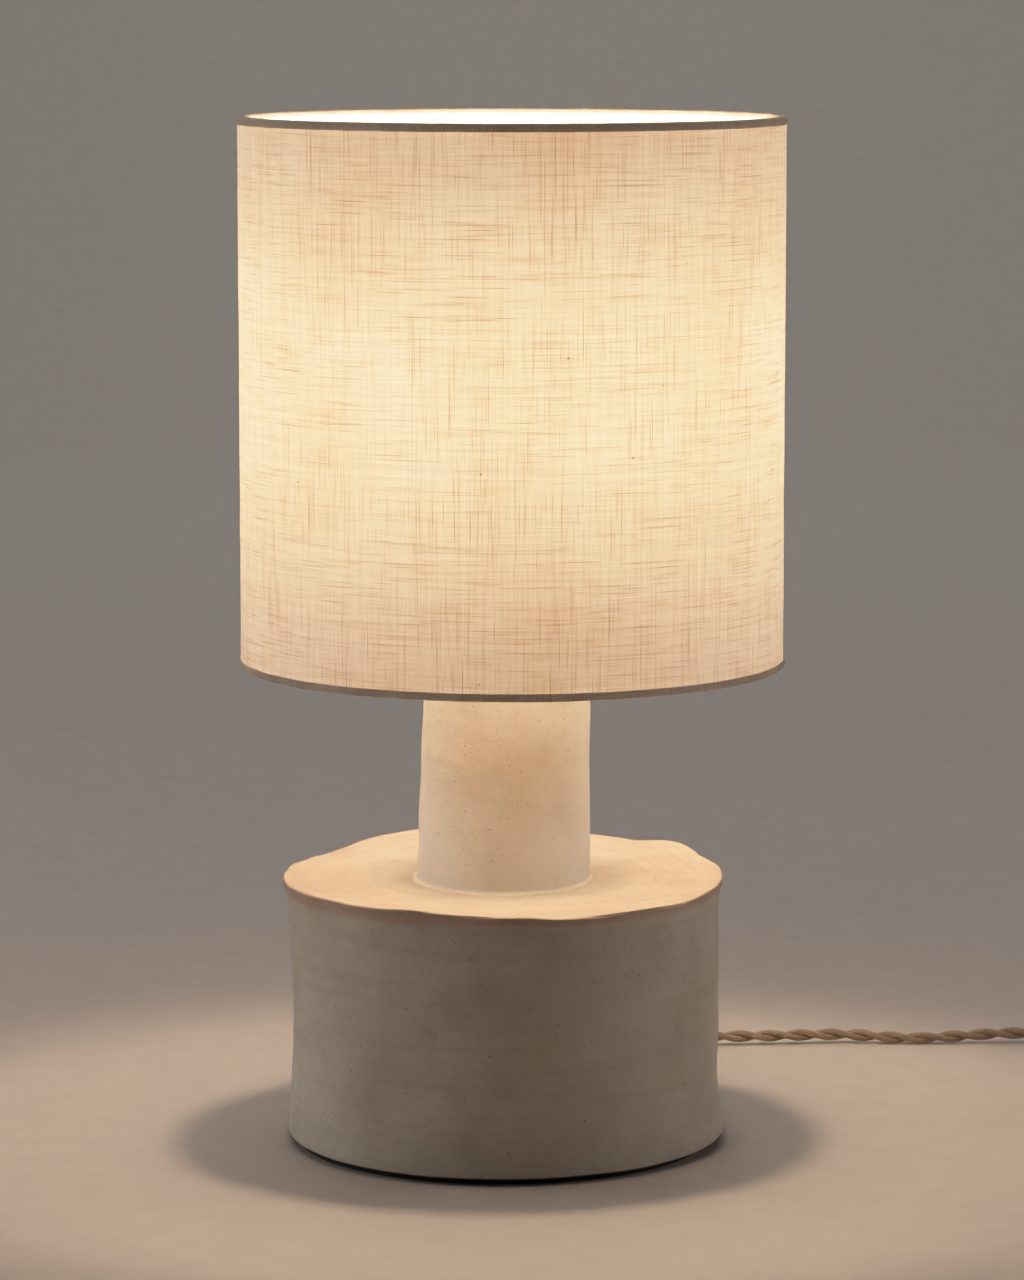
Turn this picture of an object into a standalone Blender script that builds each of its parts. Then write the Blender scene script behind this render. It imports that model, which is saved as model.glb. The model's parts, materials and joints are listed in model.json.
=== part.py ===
"""Table lamp: a hand-built clay base, a linen drum shade, an E27 lampholder and a twisted textile cord.

Metres, +Z up. The origin is on the surface that the lamp stands on, below the shade's axis. The shade,
the lampholder and the bulb turn about that axis. The clay is a little off it, as hand-built clay is.
"""

import math

import bmesh
import bpy
from mathutils import Matrix, Vector

# Driving dimensions: the shade
SHADE_RADIUS = 0.125
SHADE_BOTTOM = 0.2230
SHADE_TOP = 0.4746
LINEN_THICKNESS = 0.0005
LINER_THICKNESS = 0.0004
HEM_HEIGHT = 0.0036
HEM_THICKNESS = 0.0004
WIRE_RADIUS = 0.0012
ARM_RADIUS = 0.0014
ARM_AZIMUTHS = (90, 210, 330)

# Driving dimensions: the clay
DRUM_RADIUS = 0.1000
LIP_RADIUS = 0.1015
CLAY_BOTTOM = 0.0040
DISC_TOP = 0.1230
DISC_THICKNESS = 0.0080
NECK_RADIUS = 0.0392
NECK_TOP = 0.2400
CLAY_WALL = 0.0075
DRUM_OFF_AXIS = -0.0044
NECK_TOP_OFF_AXIS = -0.0022
CORD_HOLE_HEIGHT = 0.0155
CORD_HOLE_RADIUS = 0.0058

# Driving dimensions: bought-in parts
TUBE_RADIUS = 0.00495
TUBE_BORE = 0.00375
NUT_FLATS = 0.0140
HOLDER_SHELL_RADIUS = 0.0198
BULB_RADIUS = 0.0300
BULB_CAP_RADIUS = 0.0131
BULB_LENGTH = 0.1067
CORD_DIAMETER = 0.0062
PLUG_THICKNESS = 0.0137
PIN_SPACING = 0.0186

SHADE_SIDES = 40
CLAY_SIDES = 40
SMALL_SIDES = 20
GAP = 0.0003  # between pieces that touch
FREE = 0.0005  # between pieces that slide or turn on each other
AXIS_TOLERANCE = 1e-7
CORD_RADIUS = CORD_DIAMETER / 2

# The free cord's stored end: a coil of two layers, with the switch behind it and the plug before it
COIL_CENTRE = Vector((0.3000, 0.0400, 0.0))
COIL_MIDDLE_RADIUS = 0.0372
COIL_TURNS = 5
TURN_PITCH = 0.0064
TIE_THICKNESS = 0.0010
COIL_INNER = COIL_MIDDLE_RADIUS - TURN_PITCH * COIL_TURNS / 4 - CORD_RADIUS
COIL_OUTER = COIL_MIDDLE_RADIUS + TURN_PITCH * COIL_TURNS / 4 + CORD_RADIUS
COIL_LOW = TIE_THICKNESS + GAP
COIL_HIGH = COIL_LOW + CORD_DIAMETER + TURN_PITCH
LEAD_X = COIL_CENTRE.x + COIL_OUTER - CORD_RADIUS
SWITCH_LENGTH = 0.0660
SWITCH_WIDTH = 0.0240
SWITCH_BACK = 0.1597
SWITCH_SPLIT = 0.0100
SWITCH_TOP = 0.0185
SWITCH_WALL = 0.0016
SWITCH_CORD_HEIGHT = 0.0085
ROCKER_PIVOT_HEIGHT = 0.0148
ROCKER_TILT = math.radians(7)
PLUG_CORD_HEIGHT = PLUG_THICKNESS / 2
PLUG_RELIEF_Y = -0.0200
PLUG_RELIEF_LENGTH = 0.0240
PLUG_BODY_LENGTH = 0.0355
PIN_LENGTH = 0.0190

# The free cord's route: out of the back of the drum, round to the right, and along to the switch
CORD_EXIT_Y = 0.1235
CORD_ROUTE = [
    (DRUM_OFF_AXIS, CORD_EXIT_Y, CORD_HOLE_HEIGHT),
    (-0.0042, 0.1380, 0.0152),
    (0.0005, 0.1570, 0.0140),
    (0.0120, 0.1752, 0.0122),
    (0.0300, 0.1900, 0.0100),
    (0.0540, 0.2000, 0.0079),
    (0.0840, 0.2050, 0.0062),
    (0.1150, 0.2065, 0.0050),
    (0.1450, 0.2055, 0.0041),
    (0.1750, 0.2030, 0.0034),
    (0.2050, 0.2015, 0.0031),
    (0.2350, 0.2025, 0.0031),
    (0.2620, 0.2045, 0.0031),
    (0.2840, 0.2038, 0.0032),
    (0.3032, 0.2020, 0.0035),
    (0.3193, 0.1988, 0.0044),
    (0.3329, 0.1897, 0.0058),
    (0.3420, 0.1761, 0.0074),
    (LEAD_X, SWITCH_BACK + GAP, SWITCH_CORD_HEIGHT),
]


# ---------------------------------------------------------------- modelling tools
def clear_scene():
    for obj in list(bpy.data.objects):
        bpy.data.objects.remove(obj, do_unlink=True)


def material(name, colour, roughness, metallic=0.0):
    made = bpy.data.materials.new(name)
    made.use_nodes = True
    shader = made.node_tree.nodes["Principled BSDF"]
    shader.inputs["Base Color"].default_value = (*colour, 1.0)
    shader.inputs["Roughness"].default_value = roughness
    shader.inputs["Metallic"].default_value = metallic
    return made


def empty(name, location):
    made = bpy.data.objects.new(name, None)
    made.location = location
    made.empty_display_size = 0.02
    bpy.context.collection.objects.link(made)
    bpy.context.view_layer.update()
    return made


def place(obj, finish, parent, location=(0, 0, 0), rotation=(0, 0, 0)):
    """Links an object at a world location, with its finish, under the empty that it moves with."""
    bpy.context.collection.objects.link(obj)
    obj.location = location
    obj.rotation_euler = rotation
    obj.data.materials.append(finish)
    obj.parent = parent
    obj.matrix_parent_inverse = parent.matrix_world.inverted()
    return obj


def solid(name, shape, finish, parent, location=(0, 0, 0), rotation=(0, 0, 0), sharp=35):
    """Turns a bmesh into a placed object, with its faces pointing out and its round faces shaded smooth."""
    if shape.calc_volume(signed=True) < 0:
        bmesh.ops.reverse_faces(shape, faces=shape.faces)
    mesh = bpy.data.meshes.new(name)
    shape.to_mesh(mesh)
    shape.free()
    mesh.shade_smooth()
    mesh.set_sharp_from_angle(angle=math.radians(sharp))
    return place(bpy.data.objects.new(name, mesh), finish, parent, location, rotation)


def cut(obj, name, shape):
    """Cuts a shape out of an object. The shape is given in world coordinates."""
    if shape.calc_volume(signed=True) < 0:
        bmesh.ops.reverse_faces(shape, faces=shape.faces)
    mesh = bpy.data.meshes.new(name)
    shape.to_mesh(mesh)
    shape.free()
    cutter = bpy.data.objects.new(name, mesh)
    bpy.context.collection.objects.link(cutter)
    cutter.hide_render = True
    cutter.display_type = "WIRE"
    modifier = obj.modifiers.new(name, "BOOLEAN")
    modifier.object = cutter
    modifier.operation = "DIFFERENCE"
    modifier.solver = "EXACT"


def bevel(obj, width, segments=2):
    modifier = obj.modifiers.new("edges", "BEVEL")
    modifier.width = width
    modifier.segments = segments
    modifier.limit_method = "ANGLE"
    modifier.angle_limit = math.radians(40)


def arc(centre_r, centre_z, radius, start, end, steps):
    """Profile points on an arc, with its angles in degrees from the radius towards +Z."""
    points = []
    for step in range(steps + 1):
        angle = math.radians(start + (end - start) * step / steps)
        points.append((centre_r + radius * math.cos(angle), centre_z + radius * math.sin(angle)))
    return points


def turned(profile, segments, shaped=None):
    """A closed profile of (radius, height) points turned about Z; shaped moves a point off the true form."""
    shape = bmesh.new()
    rings = []
    for radius, height in profile:
        if radius < AXIS_TOLERANCE:
            rings.append([shape.verts.new((0, 0, height))])
            continue
        ring = []
        for step in range(segments):
            angle = math.tau * step / segments
            point = Vector((radius * math.cos(angle), radius * math.sin(angle), height))
            ring.append(shape.verts.new(shaped(point, angle) if shaped else point))
        rings.append(ring)
    for upper, lower in zip(rings, rings[1:] + rings[:1]):
        for step in range(segments):
            corners = []
            following = (step + 1) % segments
            for ring, at in ((upper, step), (lower, step), (lower, following), (upper, following)):
                corner = ring[at if len(ring) > 1 else 0]
                if corner not in corners:
                    corners.append(corner)
            if len(corners) > 2:
                shape.faces.new(corners)
    return shape


def band(inner, outer, low, high):
    """The profile of a plain ring or tube."""
    return [(outer, high), (outer, low), (inner, low), (inner, high)]


def prism(outline, low, high):
    """An outline of (x, y) points, drawn anticlockwise, raised from low to high."""
    shape = bmesh.new()
    floor = shape.faces.new([shape.verts.new((x, y, low)) for x, y in outline])
    raised = bmesh.ops.extrude_face_region(shape, geom=[floor])
    moved = [item for item in raised["geom"] if isinstance(item, bmesh.types.BMVert)]
    bmesh.ops.translate(shape, verts=moved, vec=(0, 0, high - low))
    bmesh.ops.recalc_face_normals(shape, faces=shape.faces)
    return shape


def rounded_rectangle(centre, width, length, radius, steps=4):
    """An outline with round corners, its width along X and its length along Y."""
    points = []
    for start, side_x, side_y in ((0, 1, 1), (90, -1, 1), (180, -1, -1), (270, 1, -1)):
        corner_x = centre[0] + side_x * (width / 2 - radius)
        corner_y = centre[1] + side_y * (length / 2 - radius)
        points += arc(corner_x, corner_y, radius, start, start + 90, steps)
    return points


def block(centre, size):
    """A plain box, for cuts and for small square pieces."""
    shape = bmesh.new()
    bmesh.ops.create_cube(shape, size=1.0)
    bmesh.ops.scale(shape, vec=size, verts=shape.verts)
    bmesh.ops.translate(shape, vec=centre, verts=shape.verts)
    return shape


def rod(radius, length, centre, direction, segments=24):
    """A plain round bar, for cuts and for joining to other shapes."""
    shape = bmesh.new()
    bmesh.ops.create_cone(
        shape, cap_ends=True, segments=segments, radius1=radius, radius2=radius, depth=length
    )
    turn = Vector(direction).to_track_quat("Z", "Y").to_matrix().to_4x4()
    bmesh.ops.transform(shape, matrix=Matrix.Translation(centre) @ turn, verts=shape.verts)
    return shape


def smooth_route(points, spacing):
    """Evenly spaced points on the Catmull-Rom curve through a route's points."""
    route = [Vector(point) for point in points]
    before = [2 * route[0] - route[1], *route, 2 * route[-1] - route[-2]]
    fine = []
    steps = 24
    for a, b, c, d in zip(before, before[1:], before[2:], before[3:]):
        for step in range(steps):
            t = step / steps
            fine.append(
                0.5
                * (2 * b + (c - a) * t + (2 * a - 5 * b + 4 * c - d) * t**2 + (3 * b - a - 3 * c + d) * t**3)
            )
    fine.append(route[-1])
    reached = [0.0]
    for first, second in zip(fine, fine[1:]):
        reached.append(reached[-1] + (second - first).length)
    count = max(2, round(reached[-1] / spacing))
    even = []
    at = 0
    for step in range(count + 1):
        wanted = reached[-1] * step / count
        while at < len(fine) - 2 and reached[at + 1] < wanted:
            at += 1
        share = (wanted - reached[at]) / (reached[at + 1] - reached[at])
        even.append(fine[at].lerp(fine[at + 1], share))
    return even


def flex(name, points, radius, finish, parent, sides=2, cyclic=False):
    """A round cord or wire along its points, with filled ends."""
    curve = bpy.data.curves.new(name, "CURVE")
    curve.dimensions = "3D"
    curve.bevel_depth = radius
    curve.bevel_resolution = sides
    curve.use_fill_caps = not cyclic
    spline = curve.splines.new("POLY")
    spline.points.add(len(points) - 1)
    for target, point in zip(spline.points, points):
        target.co = (*point, 1.0)
    spline.use_cyclic_u = cyclic
    return place(bpy.data.objects.new(name, curve), finish, parent)


def screw(name, head_radius, head_height, shank_radius, shank_length, finish, parent, head_bottom):
    """A pan-head screw, standing upright, with its head's underside at a point."""
    profile = [
        (0, head_height),
        *arc(head_radius - head_height / 2, head_height / 2, head_height / 2, 90, 0, 3),
        (head_radius, 0),
        (shank_radius, 0),
        (shank_radius, -shank_length + shank_radius),
        (0, -shank_length),
    ]
    return solid(name, turned(profile, 16), finish, parent, head_bottom)


# ---------------------------------------------------------------- the clay base
def clay_centre(height):
    """How far the clay's middle is off the shade's axis, along X."""
    rise = (height - DISC_TOP) / (NECK_TOP - DISC_TOP)
    return DRUM_OFF_AXIS + (NECK_TOP_OFF_AXIS - DRUM_OFF_AXIS) * min(max(rise, 0), 1)


def drum_wave(angle, height):
    """How far the drum's hand-built wall leaves a true cylinder."""
    left = max(0, -math.cos(angle)) ** 2
    right = max(0, math.cos(angle + 0.2)) ** 6
    waist = -0.0022 * left * math.exp(-(((height - 0.060) / 0.034) ** 2))
    flare = 0.0030 * right * math.exp(-(((height - 0.006) / 0.012) ** 2))
    ripple = 0.0005 * math.sin(3 * angle + 0.4) + 0.0003 * math.sin(5 * angle + 30 * height)
    return waist + flare + ripple


def rim_wave(angle):
    """How far the disc's edge leaves a true circle."""
    return 0.0004 * math.sin(2 * angle + 0.6) + 0.0004 * math.sin(5 * angle + 2) + 0.0002 * math.sin(9 * angle)


def rim_lift(angle):
    """How far the disc's edge rises above its middle; most at the back."""
    return 0.0028 * max(0, math.sin(angle)) ** 2 + 0.0003 * math.sin(7 * angle + 1.2)


def clay_form(point, angle):
    """Moves a point of the true turned form to where the hand-built clay has it."""
    radius = math.hypot(point.x, point.y)
    height = point.z
    moved = 0.0
    lifted = 0.0
    if height <= DISC_TOP and radius > DRUM_RADIUS - CLAY_WALL + GAP:
        on_rim = min(max((height - (DISC_TOP - 0.012)) / 0.006, 0), 1)
        moved = drum_wave(angle, height) * (1 - on_rim) + rim_wave(angle) * on_rim
        lifted = rim_lift(angle) * on_rim
    elif height > DISC_TOP + AXIS_TOLERANCE and radius > NECK_RADIUS - CLAY_WALL + GAP:
        moved = 0.0005 * math.sin(2 * angle + 18 * height) + 0.0003 * math.sin(5 * angle)
    if abs(height - DISC_TOP) < 0.0035 and radius > NECK_RADIUS + 0.01:
        lifted = rim_lift(angle) * (radius / LIP_RADIUS) ** 6
    centre = clay_centre(height) if radius > CORD_RADIUS * 2 else 0.0
    out = (radius + moved) / radius
    return Vector((point.x * out + centre, point.y * out, height + lifted))


def clay_body(finish, parent):
    """The drum, its disc top and the neck, fired as one hollow piece that is open below."""
    cavity = DRUM_RADIUS - CLAY_WALL
    neck_cavity = NECK_RADIUS - CLAY_WALL
    disc_bottom = DISC_TOP - DISC_THICKNESS
    fillet = 0.0060
    tube_hole = TUBE_RADIUS + FREE
    profile = [(tube_hole, NECK_TOP), (0.0200, NECK_TOP)]
    profile += arc(NECK_RADIUS - 0.003, NECK_TOP - 0.003, 0.003, 90, 0, 3)
    profile += [(NECK_RADIUS, NECK_TOP - (NECK_TOP - DISC_TOP - fillet) * step / 4) for step in range(1, 4)]
    profile += arc(NECK_RADIUS + fillet, DISC_TOP + fillet, fillet, 180, 270, 3)
    profile += [(0.0700, DISC_TOP), (0.0880, DISC_TOP)]
    profile += arc(LIP_RADIUS - 0.0028, DISC_TOP - 0.0028, 0.0028, 90, 0, 3)
    profile += [(LIP_RADIUS, DISC_TOP - 0.0058), (DRUM_RADIUS + 0.0003, DISC_TOP - 0.0080)]
    profile += [(DRUM_RADIUS, disc_bottom - (disc_bottom - 0.0200) * step / 4) for step in range(1, 5)]
    profile += arc(DRUM_RADIUS - 0.0024, CLAY_BOTTOM + 0.0024, 0.0024, 0, -90, 2)
    profile += [(cavity, CLAY_BOTTOM), (cavity, disc_bottom - 0.0040), (cavity - 0.0040, disc_bottom)]
    profile += [(neck_cavity + 0.0040, disc_bottom), (neck_cavity, disc_bottom + 0.0040)]
    profile += [(neck_cavity, NECK_TOP - CLAY_WALL - 0.0035), (neck_cavity - 0.0035, NECK_TOP - CLAY_WALL)]
    profile += [(tube_hole, NECK_TOP - CLAY_WALL)]
    body = solid("ceramic_body", turned(profile, CLAY_SIDES, clay_form), finish, parent, sharp=60)
    hole = rod(CORD_HOLE_RADIUS, 0.03, (DRUM_OFF_AXIS, DRUM_RADIUS, CORD_HOLE_HEIGHT), (0, 1, 0))
    cut(body, "cord_hole_cutter", hole)


def foot(felt, board, steel, parent):
    """The felt that the lamp stands on, and the board that closes the drum and carries the cord clamp."""
    felt_top = CLAY_BOTTOM - GAP
    profile = [(0, felt_top), (0.0974, felt_top), (0.0982, felt_top - 0.0008), (0.0982, 0), (0, 0)]
    solid("felt_foot", turned(profile, CLAY_SIDES), felt, parent, (DRUM_OFF_AXIS, 0, 0))
    board_radius = DRUM_RADIUS - CLAY_WALL - FREE
    board_top = CLAY_BOTTOM + 0.0024
    profile = [(0, board_top), (board_radius, board_top), (board_radius, CLAY_BOTTOM), (0, CLAY_BOTTOM)]
    plate = solid("bottom_board", turned(profile, CLAY_SIDES), board, parent, (DRUM_OFF_AXIS, 0, 0))
    # The clamp bridges the cord, with a screw into the board on each side.
    clamp_y = 0.058
    foot_height = 0.0020
    arch = CORD_DIAMETER + 2 * GAP
    outline = [(-0.0120, 0), (-0.0046, 0), (-0.0036, arch), (0.0036, arch), (0.0046, 0), (0.0120, 0)]
    outline += [(0.0120, foot_height), (0.0060, foot_height), (0.0052, arch + foot_height)]
    outline += [(-0.0052, arch + foot_height), (-0.0060, foot_height), (-0.0120, foot_height)]
    shape = prism(outline, -0.004, 0.004)
    bmesh.ops.rotate(shape, verts=shape.verts, matrix=Matrix.Rotation(math.radians(90), 3, "X"))
    clamp = solid("cord_clamp", shape, board, parent, (DRUM_OFF_AXIS, clamp_y, board_top + GAP))
    for number, side in enumerate((-1, 1), 1):
        screw_x = DRUM_OFF_AXIS + side * 0.0090
        screw_foot = (screw_x, clamp_y, board_top + GAP + foot_height + GAP)
        screw(f"clamp_screw_{number}", 0.0026, 0.0016, 0.0012, 0.0044, steel, parent, screw_foot)
        for target in (plate, clamp):
            hole = rod(0.0016, 0.02, (screw_x, clamp_y, board_top), (0, 0, 1), 16)
            cut(target, f"{target.name}_hole_{number}", hole)


def cord_gland(finish, parent):
    """The gland at the back: a flange each side of the clay and a tapered sleeve that keeps the cord straight."""
    wall_in = DRUM_RADIUS - CLAY_WALL - GAP - 0.0010
    wall_out = DRUM_RADIUS + GAP + 0.0008
    bore = CORD_RADIUS + GAP
    sleeve_end = CORD_EXIT_Y - GAP
    profile = [
        (bore, sleeve_end),
        (0.0040, sleeve_end),
        (0.0054, wall_out + 0.0022),
        (0.0074, wall_out + 0.0018),
        (0.0080, wall_out + 0.0010),
        (0.0080, wall_out),
        (CORD_HOLE_RADIUS - GAP, wall_out),
        (CORD_HOLE_RADIUS - GAP, wall_in),
        (0.0074, wall_in),
        (0.0066, wall_in - 0.0022),
        (bore, wall_in - 0.0022),
    ]
    # The profile's height runs along +Y, away from the drum.
    solid(
        "cord_gland",
        turned(profile, SMALL_SIDES),
        finish,
        parent,
        (DRUM_OFF_AXIS, 0, CORD_HOLE_HEIGHT),
        (math.radians(-90), 0, 0),
    )


def inner_cord(finish, parent):
    """The cord inside the lamp, from the gland through the clamp and up the tube to the lampholder."""
    lying = CLAY_BOTTOM + 0.0024 + GAP + CORD_RADIUS + GAP
    route = [
        (DRUM_OFF_AXIS, 0.0885, CORD_HOLE_HEIGHT),
        (DRUM_OFF_AXIS, 0.0760, CORD_HOLE_HEIGHT - 0.0025),
        (DRUM_OFF_AXIS, 0.0660, lying + 0.0002),
        (DRUM_OFF_AXIS, 0.0580, lying),
        (DRUM_OFF_AXIS, 0.0490, lying + 0.0002),
        (-0.0040, 0.0300, 0.0150),
        (0.0020, 0.0100, 0.0420),
        (0.0090, -0.0020, 0.0900),
        (0.0060, -0.0020, 0.1400),
        (0.0010, 0.0000, 0.1850),
        (0.0000, 0.0000, 0.2120),
        (0.0000, 0.0000, 0.2350),
        (0.0000, 0.0000, 0.2580),
    ]
    flex("inner_cord", smooth_route(route, 0.010), CORD_RADIUS, finish, parent)


# ---------------------------------------------------------------- the lampholder
def hexagonal(point, angle):
    """Pushes a turned nut's outside to its six flats and leaves its bore round."""
    radius = math.hypot(point.x, point.y)
    if radius < NUT_FLATS / 2 - 0.0005:
        return point
    from_flat = (angle + math.pi / 6) % (math.pi / 3) - math.pi / 6
    out = radius / math.cos(from_flat) / radius
    return Vector((point.x * out, point.y * out, point.z))


def tube_and_nuts(steel, parent):
    """The M10 tube through the top of the neck, clamped to the clay by a washer and a nut on each side."""
    bore = TUBE_RADIUS + GAP
    chamfer = 0.0005
    low, high = 0.2210, 0.2540
    profile = [
        (TUBE_RADIUS - chamfer, high),
        (TUBE_RADIUS, high - chamfer),
        (TUBE_RADIUS, low + chamfer),
        (TUBE_RADIUS - chamfer, low),
        (TUBE_BORE, low),
        (TUBE_BORE, high),
    ]
    solid("threaded_tube", turned(profile, SMALL_SIDES), steel, parent)
    washer, nut = 0.0015, 0.0030
    inside_face = NECK_TOP - CLAY_WALL
    levels = {
        "lower": (inside_face - GAP - washer, inside_face - 2 * GAP - washer - nut),
        "upper": (NECK_TOP + GAP, NECK_TOP + 2 * GAP + washer),
    }
    for side, (washer_low, nut_low) in levels.items():
        profile = band(bore, 0.0130, washer_low, washer_low + washer)
        solid(f"{side}_washer", turned(profile, SMALL_SIDES), steel, parent)
        flat = NUT_FLATS / 2
        profile = [(bore, nut_low + nut), (flat - 0.0004, nut_low + nut), (flat, nut_low + nut - 0.0004)]
        profile += [(flat, nut_low + 0.0004), (flat - 0.0004, nut_low), (bore, nut_low)]
        solid(f"{side}_nut", turned(profile, 12, hexagonal), steel, parent)


HOLDER_BOTTOM = NECK_TOP + 2 * GAP + 0.0015 + 0.0030 + GAP  # on the upper nut
SHOULDER_LOW = HOLDER_BOTTOM + 0.0230
SHOULDER_HIGH = SHOULDER_LOW + 0.0020
FITTER_LOW = SHOULDER_HIGH + GAP
FITTER_HIGH = FITTER_LOW + 0.0018
INSERT_TOP = SHOULDER_HIGH + 0.0030
SHELL_TOP = SHOULDER_LOW + 0.0350
BULB_TIP = INSERT_TOP + 0.0034


def lampholder(plastic, ceramic, brass, steel, parent):
    """An E27 holder: a cap on the tube, an insert with the contacts, and a shell with the shade's shoulder."""
    bore = TUBE_RADIUS + GAP
    split = SHOULDER_LOW - GAP
    profile = [(0.0172, split), (0.0192, split), (0.0195, split - 0.0006), (0.0195, HOLDER_BOTTOM + 0.0130)]
    profile += arc(0.0115, HOLDER_BOTTOM + 0.0080, 0.0080, 0, -80, 4)
    profile += [(0.0100, HOLDER_BOTTOM), (bore, HOLDER_BOTTOM), (bore, HOLDER_BOTTOM + 0.0095)]
    profile += [(0.0120, HOLDER_BOTTOM + 0.0095), (0.0172, HOLDER_BOTTOM + 0.0140)]
    cap = solid("holder_cap", turned(profile, SMALL_SIDES), plastic, parent)
    lock_height = HOLDER_BOTTOM + 0.0048
    cut(cap, "lock_screw_cutter", rod(0.0017, 0.012, (0, -0.0110, lock_height), (0, 1, 0), 16))
    lock = rod(0.0014, 0.0050, (0, -bore - 0.0028, lock_height), (0, 1, 0), 16)
    solid("cap_lock_screw", lock, steel, parent)

    insert_low = INSERT_TOP - 0.0095
    profile = [(0, INSERT_TOP), (0.0158, INSERT_TOP), (0.0164, INSERT_TOP - 0.0006)]
    profile += [(0.0164, insert_low + 0.0006), (0.0158, insert_low), (0, insert_low)]
    insert = solid("holder_insert", turned(profile, SMALL_SIDES), ceramic, parent)
    for number, side in enumerate((-1, 1), 1):
        at = (side * 0.0100, 0.0)
        cut(insert, f"terminal_cutter_{number}", rod(0.0024, 0.008, (*at, insert_low), (0, 0, 1), 16))
        profile = [(0, 0.0030), (0.0019, 0.0030), (0.0021, 0.0026), (0.0021, 0.0002), (0.0019, 0), (0, 0)]
        screw_low = (*at, insert_low - 0.0006)
        solid(f"terminal_screw_{number}", turned(profile, 16), steel, parent, screw_low)

    leaf_low = INSERT_TOP + GAP
    outline = [(-0.0075, 0), (0.0035, 0), (0.0060, 0.0014), (0.0058, 0.0018), (0.0033, 0.0004), (-0.0075, 0.0004)]
    shape = prism([(x, z + leaf_low) for x, z in outline], -0.0022, 0.0022)
    bmesh.ops.rotate(shape, verts=shape.verts, matrix=Matrix.Rotation(math.radians(90), 3, "X"))
    solid("centre_contact", shape, brass, parent)

    profile = [(0.0140, SHELL_TOP - 0.0036), (0.0140, INSERT_TOP + GAP), (0.0136, INSERT_TOP + GAP)]
    profile += [(0.0136, SHELL_TOP - 0.0036)]
    solid("screw_shell", turned(profile, SMALL_SIDES), brass, parent)

    shell = HOLDER_SHELL_RADIUS
    lip = SHELL_TOP - 0.0033
    profile = [(0.0145, SHELL_TOP), (shell - 0.0012, SHELL_TOP), (shell - 0.0002, SHELL_TOP - 0.0010)]
    groove_count = 3
    for groove in range(groove_count):
        middle = SHELL_TOP - 0.0040 - groove * 0.0080
        profile += [(shell, middle + 0.0012), (shell - 0.0007, middle), (shell, middle - 0.0012)]
    profile += [(shell, SHOULDER_HIGH), (0.0230, SHOULDER_HIGH), (0.0236, SHOULDER_HIGH - 0.0006)]
    profile += [(0.0236, SHOULDER_LOW + 0.0004), (0.0232, SHOULDER_LOW), (0.0172, SHOULDER_LOW)]
    profile += [(0.0172, lip), (0.0145, lip)]
    solid("holder_shell", turned(profile, SMALL_SIDES), plastic, parent)


def shade_ring(plastic, parent):
    """The ribbed ring that screws down the holder's shell and clamps the shade's fitter ring."""
    low = FITTER_HIGH + GAP
    high = low + 0.0075
    bore = HOLDER_SHELL_RADIUS + FREE
    ribs = 10

    def ribbed(point, angle):
        radius = math.hypot(point.x, point.y)
        if radius < 0.0240 or point.z < low + 0.0014:
            return point
        out = (radius + 0.0004 * math.cos(ribs * angle)) / radius
        return Vector((point.x * out, point.y * out, point.z))

    profile = [(bore, high), (0.0226, high), (0.0248, high - 0.0008), (0.0253, high - 0.0018)]
    profile += [(0.0253, low + 0.0018), (0.0272, low + 0.0012), (0.0272, low), (bore, low)]
    solid("shade_ring", turned(profile, 4 * ribs, ribbed), plastic, parent)


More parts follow.
